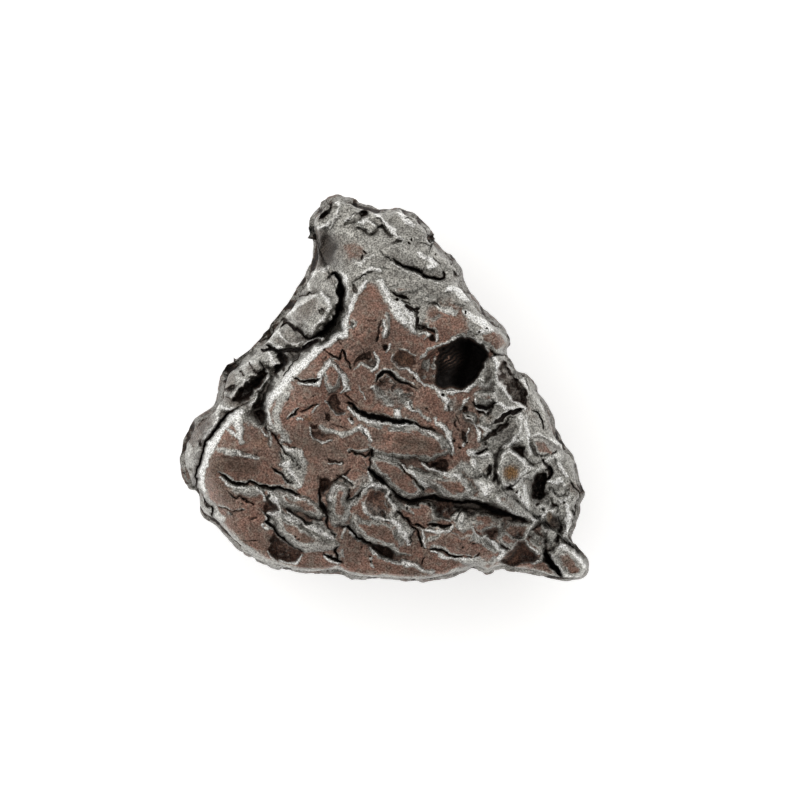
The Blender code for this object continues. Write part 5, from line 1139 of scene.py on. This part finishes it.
class Face:
    """The front face worked out once on a fine even grid, then read back at any position."""
    PITCH = 0.5
    U0, V0, U1, V1 = 166.0, 182.0, 604.0, 596.0

    def __init__(self):
        gu = np.arange(self.U0, self.U1 + 0.01, self.PITCH)
        gv = np.arange(self.V0, self.V1 + 0.01, self.PITCH)
        U, V = np.meshgrid(gu, gv)
        shape = U.shape
        u, v = U.ravel(), V.ravel()
        p = np.stack([u, v, np.zeros_like(u)], axis=1)
        # the drawn lines wander a little, so that no edge is ruled
        wu = u + 2.0 * value_noise(p / 9.0 + 1.7) + 1.1 * value_noise(p / 3.4 + 5.1)
        wv = v + 2.0 * value_noise(p / 9.0 + 23.9) + 1.1 * value_noise(p / 3.4 + 41.3)
        f = {k: x.reshape(shape) for k, x in drawn_fields(wu, wv).items()}

        wave = fractal(p / 36.0 + 3.1, 2, 0.5).reshape(shape)
        grain = fractal(p / 3.1 + 11.0, 3, 0.6).reshape(shape)
        # short creases between low swellings, drawn out along the lobes
        q = np.stack([(u + 0.25 * v) / 17.0, (v - 0.12 * u) / 9.5, np.full_like(u, 3.3)], axis=1)
        q = q + 0.35 * np.stack([value_noise(p / 13.0 + 8.8), value_noise(p / 13.0 + 18.8), 0 * u], axis=1)
        swell = fractal(q, 2, 0.55).reshape(shape)
        gate = smooth((fractal(p / 27.0 + 77.0, 2).reshape(shape) + 0.15) / 0.35)
        crease = np.exp(-(swell / 0.055) ** 2) * gate
        bulge = np.abs(swell)
        pock = np.clip(fractal(p / 6.5 + 29.0, 2).reshape(shape) - 0.30, 0.0, 1.0)
        tone = fractal(p / 12.0 + 51.0, 3, 0.6).reshape(shape)
        relief = f["relief"] + 4.5 * wave + 0.8 * bulge - 0.5 * crease + grain * (0.10 + 1.1 * f["rough"]) - 5.0 * pock * np.clip(
            0.10 + f["rough"], 0, 1)

        a = np.arctan2(v - HUB_V, u - HUB_U)
        r = SHELL.radius(a)
        share = np.clip(np.hypot(u - HUB_U, v - HUB_V) / r, 0.0, 1.0)
        edge = SHELL.edge_distance(a, share, r)
        crown = crown_of(a, edge).reshape(shape)
        rim = (np.interp(np.degrees(a), *np.array(RIM, float).T) * MM).reshape(shape)
        top = (HEIGHT_OF(u, v) * MM).reshape(shape)

        own = relief * crown
        gy, gx = np.gradient(self.blur(own, 0.9), self.PITCH)
        slope = np.hypot(gx, gy)
        by, bx = np.gradient(self.blur(rim + (top - rim) * crown, 2.0), self.PITCH)
        broad = np.hypot(bx, by)
        # hollows are painted darker, painted shade with dark oxide; proud edges are worn bright
        form = 0.30 * (own - self.blur(own, 3.5)) + 0.13 * (own - self.blur(own, 10.0))
        low = self.blur(own, 9.0) - own

        # the painted shade and dirt of sunk parts is broken up: dark crumbs with lit specks between them
        crumb = fractal(p / 2.9 + 63.0, 2, 0.6).reshape(shape)
        speckle = smooth((crumb - 0.02) / 0.22) * smooth(np.clip(f["rough"], 0, 1) / 0.6)
        flat = 1.0 - smooth((slope + 0.20 * broad + 0.30 * tone - 0.52) / 0.62)
        # cracks, pits and low ground painted darker: dirt and painted shade
        dirt_and_shade = np.clip(f["dirt_and_shade"] * (1.0 - 0.80 * speckle) + smooth((low - 7.0) / 12.0) * 0.4, 0, 1)
        worn = smooth((own - self.blur(own, 2.2) - 0.30) / 0.9)
        # edges and lips painted bright: worn metal and painted highlight
        wear_and_highlight = np.clip(f["wear_and_highlight"] * (1.0 + 0.45 * tone), 0, 1)
        skin = f["brown"] * flat * (1 - f["silver"]) * (1 - 0.6 * worn) * smooth((crown - 0.50) / 0.28)
        skin = skin * (1.0 - smooth((wear_and_highlight - 0.08) / 0.55))
        bare = np.clip(0.06 + 0.42 * smooth((slope - 0.45) / 0.8) + 0.35 * worn + 0.25 * f["lip"], 0, 1)
        bare = np.maximum(bare * (1.0 - 0.5 * skin), f["silver"] * 0.60)
        bare = np.maximum(bare, wear_and_highlight)
        shade = smooth((-form - 0.10) / 1.0)
        # darker towards the widest line where the face rounds over to the flanks: painted shade
        flank_shade = 1.0 - smooth((crown - 0.35) / 0.5)
        relief = relief - f["cut"]
        self.map = dict(relief=relief, flank_shade=flank_shade, skin=skin, bare=bare * (1 - dirt_and_shade), pit=dirt_and_shade, floor=f["floor"],
                        shade=shade * (1.0 - 0.7 * wear_and_highlight), ochre=f["ochre"], grey_shade_and_patina=f["grey_shade_and_patina"], wear_and_highlight=wear_and_highlight * (1 - dirt_and_shade),
                        patina_and_shade=f["patina_and_shade"], grit=np.clip(f["rough"], 0, 1.5) / 1.5)

    def blur(self, img, sigma):
        s = sigma / self.PITCH
        fy = np.fft.fftfreq(img.shape[0])[:, None]
        fx = np.fft.rfftfreq(img.shape[1])[None, :]
        k = np.exp(-2.0 * (math.pi * s) ** 2 * (fx * fx + fy * fy))
        return np.fft.irfft2(np.fft.rfft2(img) * k, s=img.shape)

    def read(self, name, u, v):
        img = self.map[name]
        x = np.clip((u - self.U0) / self.PITCH, 0, img.shape[1] - 1.001)
        y = np.clip((v - self.V0) / self.PITCH, 0, img.shape[0] - 1.001)
        i, j = x.astype(int), y.astype(int)
        fx, fy = x - i, y - j
        return ((img[j, i] * (1 - fx) + img[j, i + 1] * fx) * (1 - fy)
                + (img[j + 1, i] * (1 - fx) + img[j + 1, i + 1] * fx) * fy)


FACE = Face()
EQUATOR = math.radians(128.0)     # share of the sphere that becomes the front face and its shoulders


def wrap(co):
    """Sphere points to plan position, distance to the outline and side of the lump."""
    t = np.arccos(np.clip(co[:, 2], -1.0, 1.0))
    a = np.arctan2(-co[:, 1], co[:, 0])
    front = t <= EQUATOR
    # profile from the middle of the face to the widest line, with even cover of the surface
    R, e, wall = 195.0, 20.0, 85.0
    s1 = np.linspace(0.0, R - e, 400)
    phi = np.linspace(0.0, math.pi / 2, 400)[1:]
    rr = np.concatenate([s1, R - e + e * np.sin(phi)])
    zz = np.concatenate([np.zeros(400), -wall * (1 - np.cos(phi))])
    ds = np.hypot(np.diff(rr), np.diff(zz))
    area = np.concatenate([[0.0], np.cumsum((rr[1:] + rr[:-1]) / 2 * ds)])
    share = (1 - np.cos(np.minimum(t, EQUATOR))) / (1 - math.cos(EQUATOR))
    f_front = np.interp(share * area[-1], area, rr) / R
    e2, wall2 = 60.0, 66.0
    s1 = np.linspace(0.0, R - e2, 400)
    rr = np.concatenate([s1, R - e2 + e2 * np.sin(phi)])
    zz = np.concatenate([np.zeros(400), -wall2 * (1 - np.cos(phi))])
    ds = np.hypot(np.diff(rr), np.diff(zz))
    area = np.concatenate([[0.0], np.cumsum((rr[1:] + rr[:-1]) / 2 * ds)])
    share = (1 + np.cos(np.maximum(t, EQUATOR))) / (1 + math.cos(EQUATOR))
    f_back = np.interp(share * area[-1], area, rr) / R
    f = np.where(front, f_front, f_back)
    return a, f, front


def shape(co):
    """Where each sphere point goes: the finished form, and the same form without its drawn relief."""
    a, f, front = wrap(co)
    r = SHELL.radius(a)
    u = HUB_U + f * r * np.cos(a)
    v = HUB_V + f * r * np.sin(a)
    edge = SHELL.edge_distance(a, f, r)

    rim = np.interp(np.degrees(a), *np.array(RIM, float).T) * MM
    crown = crown_of(a, edge)
    top = HEIGHT_OF(u, v) * MM
    relief = FACE.read("relief", u, v)

    far = np.hypot((u - 386.0) / 1.25, v - 428.0)
    low = (-1.1 + 3.1 * smooth(far / 170.0)) * MM
    crown_b = np.sqrt(np.clip(1.0 - (1.0 - np.minimum(edge / 62.0, 1.0)) ** 2, 0.0, 1.0))
    z_back = rim + (low - rim) * crown_b

    x, y = u - MID_U, MID_V - v
    plain = np.stack([x, y, np.where(front, rim + (top - rim) * crown, z_back)], axis=1)
    pos = np.stack([x, y, np.where(front, rim + (top + relief - rim) * crown, z_back)], axis=1)
    return pos, plain, front, crown, crown_b


def vertex_normals(pos, tri):
    a, b, c = pos[tri[:, 0]], pos[tri[:, 1]], pos[tri[:, 2]]
    n = np.cross(b - a, c - a)
    out = np.zeros_like(pos)
    for k in range(3):
        for ax in range(3):
            out[:, ax] += np.bincount(tri[:, k], weights=n[:, ax], minlength=len(pos))
    return out / np.maximum(np.linalg.norm(out, axis=1), 1e-12)[:, None]


def side_pattern(pos, wobble=True):
    """Pillows, furrows and pits of the flanks and belly at positions in drawing units."""
    p = warp(pos, 0.02, 14.0, 3.0) if wobble else pos
    f1, f2, own = cells(p / 46.0 + 5.3)
    big = smooth((f2 - f1) / 0.34)
    rise = (own - 0.5) * 2.0
    g1, g2, own2 = cells(warp(pos, 0.05, 6.0, 40.0) / 19.0 + 2.1)
    small = smooth((g2 - g1) / 0.36)
    pit = smooth((0.30 - g1) / 0.12) * (own2 > 0.80)
    return big, rise, small, own2, pit


def build_mesh():
    level = 9
    bpy.ops.mesh.primitive_ico_sphere_add(subdivisions=level, radius=1.0)
    obj = bpy.context.object
    me = obj.data
    n = len(me.vertices)
    co = np.empty(n * 3, np.float32)
    me.vertices.foreach_get("co", co)
    co = co.reshape(n, 3).astype(np.float64)
    co /= np.linalg.norm(co, axis=1)[:, None]
    tri = np.empty(len(me.polygons) * 3, np.int32)
    me.polygons.foreach_get("vertices", tri)
    tri = tri.reshape(-1, 3)

    pos, plain, front, crown, crown_b = shape(co)
    normal = vertex_normals(plain, tri)

    # flanks and belly
    wall = np.where(front, 1.0 - smooth((crown - 0.62) / 0.30), 1.0)
    big, rise, small, own2, pit = side_pattern(plain)
    lump = -6.0 * (1.0 - big) + 2.2 * rise * big - 2.2 * (1.0 - small) - 4.0 * pit
    near_rim = np.where(front, smooth(crown / 0.45), smooth(crown_b / 0.45))
    inward = np.where(lump > 0, near_rim, 0.30 + 0.70 * near_rim)
    wave = fractal(plain / 17.0, 3) * 1.3 + fractal(plain / 5.5 + 9.0, 2) * 0.5
    grain = fractal(plain / 3.0 + 3.0, 2, 0.6) * 0.15
    pos = pos + normal * ((lump * inward + (wave + grain) * (0.4 + 0.6 * near_rim)) * wall)[:, None]

    pos[:, 2] = np.maximum(pos[:, 2], 0.0)
    me.vertices.foreach_set("co", (pos * UNIT).astype(np.float32).ravel())
    me.update()
    return obj


def finish_mesh(obj):
    """Thins the mesh to what is needed and writes the masks that the finish reads."""
    me = obj.data
    n = len(me.vertices)
    co = np.empty(n * 3, np.float32)
    me.vertices.foreach_get("co", co)
    nor = np.empty(n * 3, np.float32)
    me.vertices.foreach_get("normal", nor)
    co, nor = co.reshape(n, 3), nor.reshape(n, 3)
    under = np.nonzero((nor[:, 2] < -0.15) & (co[:, 2] < 0.009))[0]
    group = obj.vertex_groups.new(name="under")
    group.add(under.tolist(), 1.0, "REPLACE")
    total = len(me.polygons)
    low = obj.modifiers.new("thin_under", "DECIMATE")
    low.vertex_group = "under"
    low.ratio = 1.0 - 0.90 * (2.0 * len(under)) / total
    mod = obj.modifiers.new("thin", "DECIMATE")
    mod.ratio = 190000.0 / (total * low.ratio)
    mod.use_collapse_triangulate = True
    bpy.context.view_layer.update()
    thin = bpy.data.meshes.new_from_object(obj.evaluated_get(bpy.context.evaluated_depsgraph_get()))
    obj.modifiers.clear()
    obj.vertex_groups.clear()
    old = obj.data
    obj.data = thin
    bpy.data.meshes.remove(old)
    me = obj.data
    n = len(me.vertices)
    co = np.empty(n * 3, np.float32)
    me.vertices.foreach_get("co", co)
    co = co.reshape(n, 3).astype(np.float64)
    nor = np.empty(n * 3, np.float32)
    me.vertices.foreach_get("normal", nor)
    nor = nor.reshape(n, 3)
    u, v = co[:, 0] / UNIT + MID_U, MID_V - co[:, 1] / UNIT
    z = co[:, 2] / UNIT

    top = HEIGHT_OF(u, v) * MM
    relief = FACE.read("relief", u, v)
    # how much a point belongs to the drawn front face rather than to the flanks under it
    a = np.arctan2(v - HUB_V, u - HUB_U)
    r = SHELL.radius(a)
    share = np.clip(np.hypot(u - HUB_U, v - HUB_V) / r, 0.0, 1.0)
    edge = SHELL.edge_distance(a, share, r)
    rim = np.interp(np.degrees(a), *np.array(RIM, float).T) * MM
    crown = crown_of(a, edge)
    here = rim + (top + relief - rim) * crown
    on_front = smooth((z - (here - 7.0)) / 5.0) * smooth((crown - 0.30) / 0.35)

    pos = np.stack([u - MID_U, MID_V - v, z], axis=1)
    big, rise, small, own2, pit = side_pattern(pos)
    # furrows and pits of the flanks and belly painted dark: dirt and painted shade
    side_dirt_and_shade = np.maximum((1.0 - smooth(big / 0.35)) * 0.9, pit)
    side_bright = smooth((1.0 - big) / 0.5) * smooth(big / 0.4) + 0.6 * smooth((1.0 - small) / 0.6) * smooth(small / 0.3)
    side_brown = smooth((big - 0.55) / 0.3) * smooth((small - 0.3) / 0.4) * smooth((own2 - 0.10) / 0.2)
    # the flanks and belly also take painted shade and darker patina all over
    side = dict(shade=side_dirt_and_shade * 0.6, flank_shade=0.75, skin=side_brown * 0.85, bare=np.clip(side_bright, 0, 1) * 0.8, pit=side_dirt_and_shade, floor=0.0, ochre=0.0,
                grey_shade_and_patina=0.15, grit=0.35, wear_and_highlight=0.0, patina_and_shade=0.25)
    masks = {name: np.clip(FACE.read(name, u, v) * on_front + value * (1.0 - on_front), 0.0, 1.0)
             for name, value in side.items()}
    for name, value in masks.items():
        at = me.attributes.new(name, "FLOAT", "POINT")
        at.data.foreach_set("value", value.astype(np.float32))
    for p in me.polygons:
        p.use_smooth = True
    return obj


# ------------------------------------------------------------------------------------------------------------
# finish
# ------------------------------------------------------------------------------------------------------------
class Graph:
    def __init__(self, tree):
        self.t = tree

    def node(self, kind, **props):
        n = self.t.nodes.new(kind)
        for k, val in props.items():
            setattr(n, k, val)
        return n

    def link(self, a, b):
        self.t.links.new(a, b)

    def put(self, socket, value):
        if hasattr(value, "is_linked") or hasattr(value, "links"):
            self.link(value, socket)
        else:
            socket.default_value = value

    def attribute(self, name):
        return self.node("ShaderNodeAttribute", attribute_name=name).outputs["Fac"]

    def math(self, op, a, b=0.0, c=None, clamp=False):
        n = self.node("ShaderNodeMath", operation=op, use_clamp=clamp)
        self.put(n.inputs[0], a)
        self.put(n.inputs[1], b)
        if c is not None:
            self.put(n.inputs[2], c)
        return n.outputs[0]

    def ramp(self, value, lo, hi, to_lo=0.0, to_hi=1.0):
        n = self.node("ShaderNodeMapRange", interpolation_type="SMOOTHSTEP")
        self.put(n.inputs["Value"], value)
        n.inputs["From Min"].default_value = lo
        n.inputs["From Max"].default_value = hi
        n.inputs["To Min"].default_value = to_lo
        n.inputs["To Max"].default_value = to_hi
        return n.outputs["Result"]

    def mix(self, fac, a, b):
        n = self.node("ShaderNodeMix", data_type="RGBA", blend_type="MIX")
        self.put(n.inputs[0], fac)
        self.put(n.inputs[6], a)
        self.put(n.inputs[7], b)
        return n.outputs[2]

    def noise(self, coords, scale, detail=3.0, rough=0.5, distort=0.0):
        n = self.node("ShaderNodeTexNoise")
        self.link(coords, n.inputs["Vector"])
        n.inputs["Scale"].default_value = scale
        n.inputs["Detail"].default_value = detail
        n.inputs["Roughness"].default_value = rough
        n.inputs["Distortion"].default_value = distort
        return n.outputs["Fac"]


def make_finish():
    mat = bpy.data.materials.new("meteoritic_iron")
    mat.use_nodes = True
    g = Graph(mat.node_tree)
    bsdf = mat.node_tree.nodes["Principled BSDF"]
    co = g.node("ShaderNodeTexCoord").outputs["Object"]

    skin, bare, pit = g.attribute("skin"), g.attribute("bare"), g.attribute("pit")
    floor, ochre, grey_shade_and_patina, grit = g.attribute("floor"), g.attribute("ochre"), g.attribute("grey_shade_and_patina"), g.attribute("grit")
    flank_shade, shade = g.attribute("flank_shade"), g.attribute("shade")
    wear_and_highlight, patina_and_shade = g.attribute("wear_and_highlight"), g.attribute("patina_and_shade")

    cloud = g.noise(co, 330.0, 4.0, 0.55)
    mottle = g.noise(co, 1300.0, 4.0, 0.6)
    speck = g.noise(co, 4200.0, 3.0, 0.65)
    fine = g.noise(co, 9000.0, 2.0, 0.6)

    # bare metal: grey to pale silver, with dark grains
    steel = g.mix(g.ramp(mottle, 0.32, 0.66), (0.36, 0.352, 0.325, 1), (0.60, 0.59, 0.555, 1))
    steel = g.mix(g.math("MULTIPLY", g.ramp(speck, 0.53, 0.64), 0.8), steel, (0.12, 0.115, 0.105, 1))
    steel = g.mix(g.math("MULTIPLY", g.ramp(fine, 0.54, 0.66), 0.5), steel, (0.80, 0.79, 0.76, 1))
    # brown patina
    red = g.mix(g.ramp(cloud, 0.38, 0.62), (0.185, 0.120, 0.095, 1), (0.250, 0.138, 0.104, 1))
    red = g.mix(g.math("MULTIPLY", g.ramp(mottle, 0.46, 0.66), 0.6), red, (0.23, 0.20, 0.165, 1))
    red = g.mix(g.math("MULTIPLY", g.ramp(speck, 0.54, 0.66), 0.7), red, (0.10, 0.055, 0.04, 1))
    red = g.mix(g.math("MULTIPLY", g.ramp(fine, 0.56, 0.68), 0.35), red, (0.55, 0.44, 0.38, 1))

    # grey skin where neither mask holds
    grey = g.mix(g.ramp(mottle, 0.35, 0.65), (0.24, 0.23, 0.21, 1), (0.40, 0.39, 0.36, 1))
    grey = g.mix(g.math("MULTIPLY", g.ramp(speck, 0.53, 0.66), 0.6), grey, (0.07, 0.065, 0.06, 1))
    pepper = g.math("ADD", g.math("MULTIPLY", g.math("SUBTRACT", speck, 0.5), 0.8),
                    g.math("MULTIPLY", g.math("SUBTRACT", fine, 0.5), 0.7))
    edge = g.math("ADD", skin, pepper)
    colour = g.mix(g.ramp(edge, 0.20, 0.75), grey, red)
    bright = g.math("ADD", bare, pepper)
    colour = g.mix(g.ramp(bright, 0.20, 0.85), colour, steel)
    # edges and lips painted near white: worn metal and painted highlight
    colour = g.mix(g.ramp(g.math("ADD", wear_and_highlight, pepper), 0.45, 0.95), colour, (0.80, 0.79, 0.765, 1))
    # darker, duller patches: patina and painted shade
    colour = g.mix(g.math("MULTIPLY", patina_and_shade, 0.75), colour, (0.085, 0.062, 0.046, 1))
    # dark grey patches and flanks: painted shade and patina
    colour = g.mix(g.math("MULTIPLY", grey_shade_and_patina, g.ramp(cloud, 0.25, 0.55, 0.55, 1.0)), colour, (0.075, 0.072, 0.068, 1))
    # hollows painted darker: painted shade with dark oxide
    colour = g.mix(g.math("MULTIPLY", shade, 0.8), colour, (0.050, 0.040, 0.033, 1))
    # flanks and the rounded-over edge painted darker: painted shade
    colour = g.mix(g.math("MULTIPLY", flank_shade, 0.6), colour, (0.10, 0.09, 0.08, 1))
    rust = g.mix(g.ramp(speck, 0.4, 0.6), (0.16, 0.072, 0.018, 1), (0.24, 0.125, 0.04, 1))
    colour = g.mix(g.math("MULTIPLY", ochre, g.ramp(mottle, 0.3, 0.55, 0.5, 0.9)), colour, rust)
    earth = g.mix(g.ramp(mottle, 0.4, 0.62), (0.040, 0.018, 0.011, 1), (0.17, 0.085, 0.055, 1))
    colour = g.mix(g.math("MULTIPLY", floor, 0.8), colour, earth)
    # cracks, pits and furrows painted dark brown, near black where deepest: dirt and painted shade
    hollow = g.math("ADD", pit, g.math("MULTIPLY", g.math("SUBTRACT", speck, 0.5), 0.8))
    colour = g.mix(g.ramp(hollow, 0.15, 0.62), colour, (0.060, 0.038, 0.028, 1))
    colour = g.mix(g.ramp(hollow, 0.50, 1.0), colour, (0.010, 0.007, 0.006, 1))
    # fine grain over all
    grain = g.noise(co, 5200.0, 1.0, 0.5)
    level = g.ramp(grain, 0.28, 0.72, 0.50, 1.50)
    scaled = g.node("ShaderNodeVectorMath", operation="SCALE")
    g.link(colour, scaled.inputs[0])
    g.link(level, scaled.inputs["Scale"])
    g.link(scaled.outputs[0], bsdf.inputs["Base Color"])

    dull = g.math("MAXIMUM", g.ramp(hollow, 0.3, 0.9), g.math("MULTIPLY", floor, 0.8))
    satin = g.math("MAXIMUM", g.math("MULTIPLY", dull, 0.85), g.math("MULTIPLY", skin, 0.25))
    g.link(g.math("SUBTRACT", 1.0, satin), bsdf.inputs["Metallic"])
    r = g.ramp(mottle, 0.3, 0.7, 0.24, 0.36)
    r = g.math("ADD", r, g.math("MULTIPLY", g.ramp(speck, 0.45, 0.7), 0.16))
    r = g.math("ADD", r, g.math("MULTIPLY", skin, 0.10))
    r = g.math("ADD", r, g.math("MULTIPLY", dull, 0.35), clamp=True)
    g.link(r, bsdf.inputs["Roughness"])

    height = g.math("ADD", g.math("MULTIPLY", speck, 0.9), g.math("MULTIPLY", grain, 0.9))
    height = g.math("ADD", height, g.math("MULTIPLY", mottle, 1.1))
    height = g.math("MULTIPLY", height, g.math("ADD", 0.45, g.math("MULTIPLY", g.math("MAXIMUM", grit, bare), 0.9)))
    bump = g.node("ShaderNodeBump")
    bump.inputs["Strength"].default_value = 0.8
    bump.inputs["Distance"].default_value = 0.00014
    g.link(height, bump.inputs["Height"])
    g.link(bump.outputs["Normal"], bsdf.inputs["Normal"])
    return mat


# ------------------------------------------------------------------------------------------------------------
# stage
# ------------------------------------------------------------------------------------------------------------
def make_stage():
    bpy.ops.mesh.primitive_plane_add(size=6.0, location=(0, 0, 0))
    floor = bpy.context.object
    floor.name = "floor"
    mat = bpy.data.materials.new("pale_floor")
    mat.use_nodes = True
    b = mat.node_tree.nodes["Principled BSDF"]
    b.inputs["Base Color"].default_value = (0.90, 0.90, 0.90, 1)
    b.inputs["Roughness"].default_value = 0.9
    b.inputs["Specular IOR Level"].default_value = 0.1
    b.inputs["Emission Color"].default_value = (1, 1, 1, 1)
    b.inputs["Emission Strength"].default_value = 0.55
    floor.data.materials.append(mat)

    world = bpy.data.worlds.new("light_tent")
    bpy.context.scene.world = world
    world.use_nodes = True
    g = Graph(world.node_tree)
    bg = world.node_tree.nodes["Background"]
    direction = g.node("ShaderNodeTexCoord").outputs["Generated"]
    sep = g.node("ShaderNodeSeparateXYZ")
    g.link(direction, sep.inputs[0])
    up = sep.outputs["Z"]
    ramp = g.node("ShaderNodeValToRGB")
    g.link(g.math("ADD", g.math("MULTIPLY", up, 0.5), 0.5), ramp.inputs[0])
    el = ramp.color_ramp.elements
    el[0].position, el[0].color = 0.0, (0.5, 0.5, 0.5, 1)
    el[1].position, el[1].color = 1.0, (0.46, 0.445, 0.43, 1)
    for at, c in ((0.50, (0.22, 0.22, 0.215)), (0.60, (0.42, 0.42, 0.41)), (0.70, (1.12, 1.12, 1.09)),
                  (0.82, (1.12, 1.11, 1.09)), (0.90, (0.72, 0.705, 0.69)), (0.96, (0.50, 0.485, 0.47))):
        e = el.new(at)
        e.color = (*c, 1)
    # brighter towards the upper left of the picture
    lean = g.math("ADD", g.math("MULTIPLY", sep.outputs["X"], -0.36), g.math("MULTIPLY", sep.outputs["Y"], 0.42))
    lean = g.math("ADD", lean, 0.88)
    scale = g.node("ShaderNodeVectorMath", operation="SCALE")
    g.link(ramp.outputs["Color"], scale.inputs[0])
    g.link(lean, scale.inputs["Scale"])
    g.link(scale.outputs[0], bg.inputs["Color"])
    bg.inputs["Strength"].default_value = 1.0

    # soft boxes, their brightness given as seen in a mirror
    for name, place, size, glow in (("soft_left", (-0.40, 0.22, 0.40), 0.34, 0.7),
                                    ("soft_right", (0.44, 0.14, 0.30), 0.26, 0.3),
                                    ("soft_low", (0.00, -0.46, 0.30), 0.30, 0.4)):
        lamp = bpy.data.lights.new(name, "AREA")
        lamp.size = size
        lamp.energy = glow * math.pi * size * size
        lo = bpy.data.objects.new(name, lamp)
        bpy.context.scene.collection.objects.link(lo)
        lo.location = place
        lo.rotation_mode = "QUATERNION"
        lo.rotation_quaternion = Vector(place).to_track_quat("Z", "Y")

    cam_data = bpy.data.cameras.new("camera")
    cam = bpy.data.objects.new("camera", cam_data)
    bpy.context.scene.collection.objects.link(cam)
    far = 1.5
    mid = 0.008
    cam.location = ((400.0 - MID_U) * UNIT, (MID_V - 400.0) * UNIT, far)
    cam_data.sensor_width = 36.0
    cam_data.lens = 36.0 * (far - mid) / (800.0 * UNIT)
    cam_data.clip_start, cam_data.clip_end = 0.05, 20.0
    bpy.context.scene.camera = cam
    bpy.context.scene.view_settings.view_transform = "Standard"


make_stage()
lump = finish_mesh(build_mesh())
lump.name = "meteorite_skin"
lump.data.name = "meteorite_skin"
lump.data.materials.append(make_finish())
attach(lump, "root")
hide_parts("meteorite")
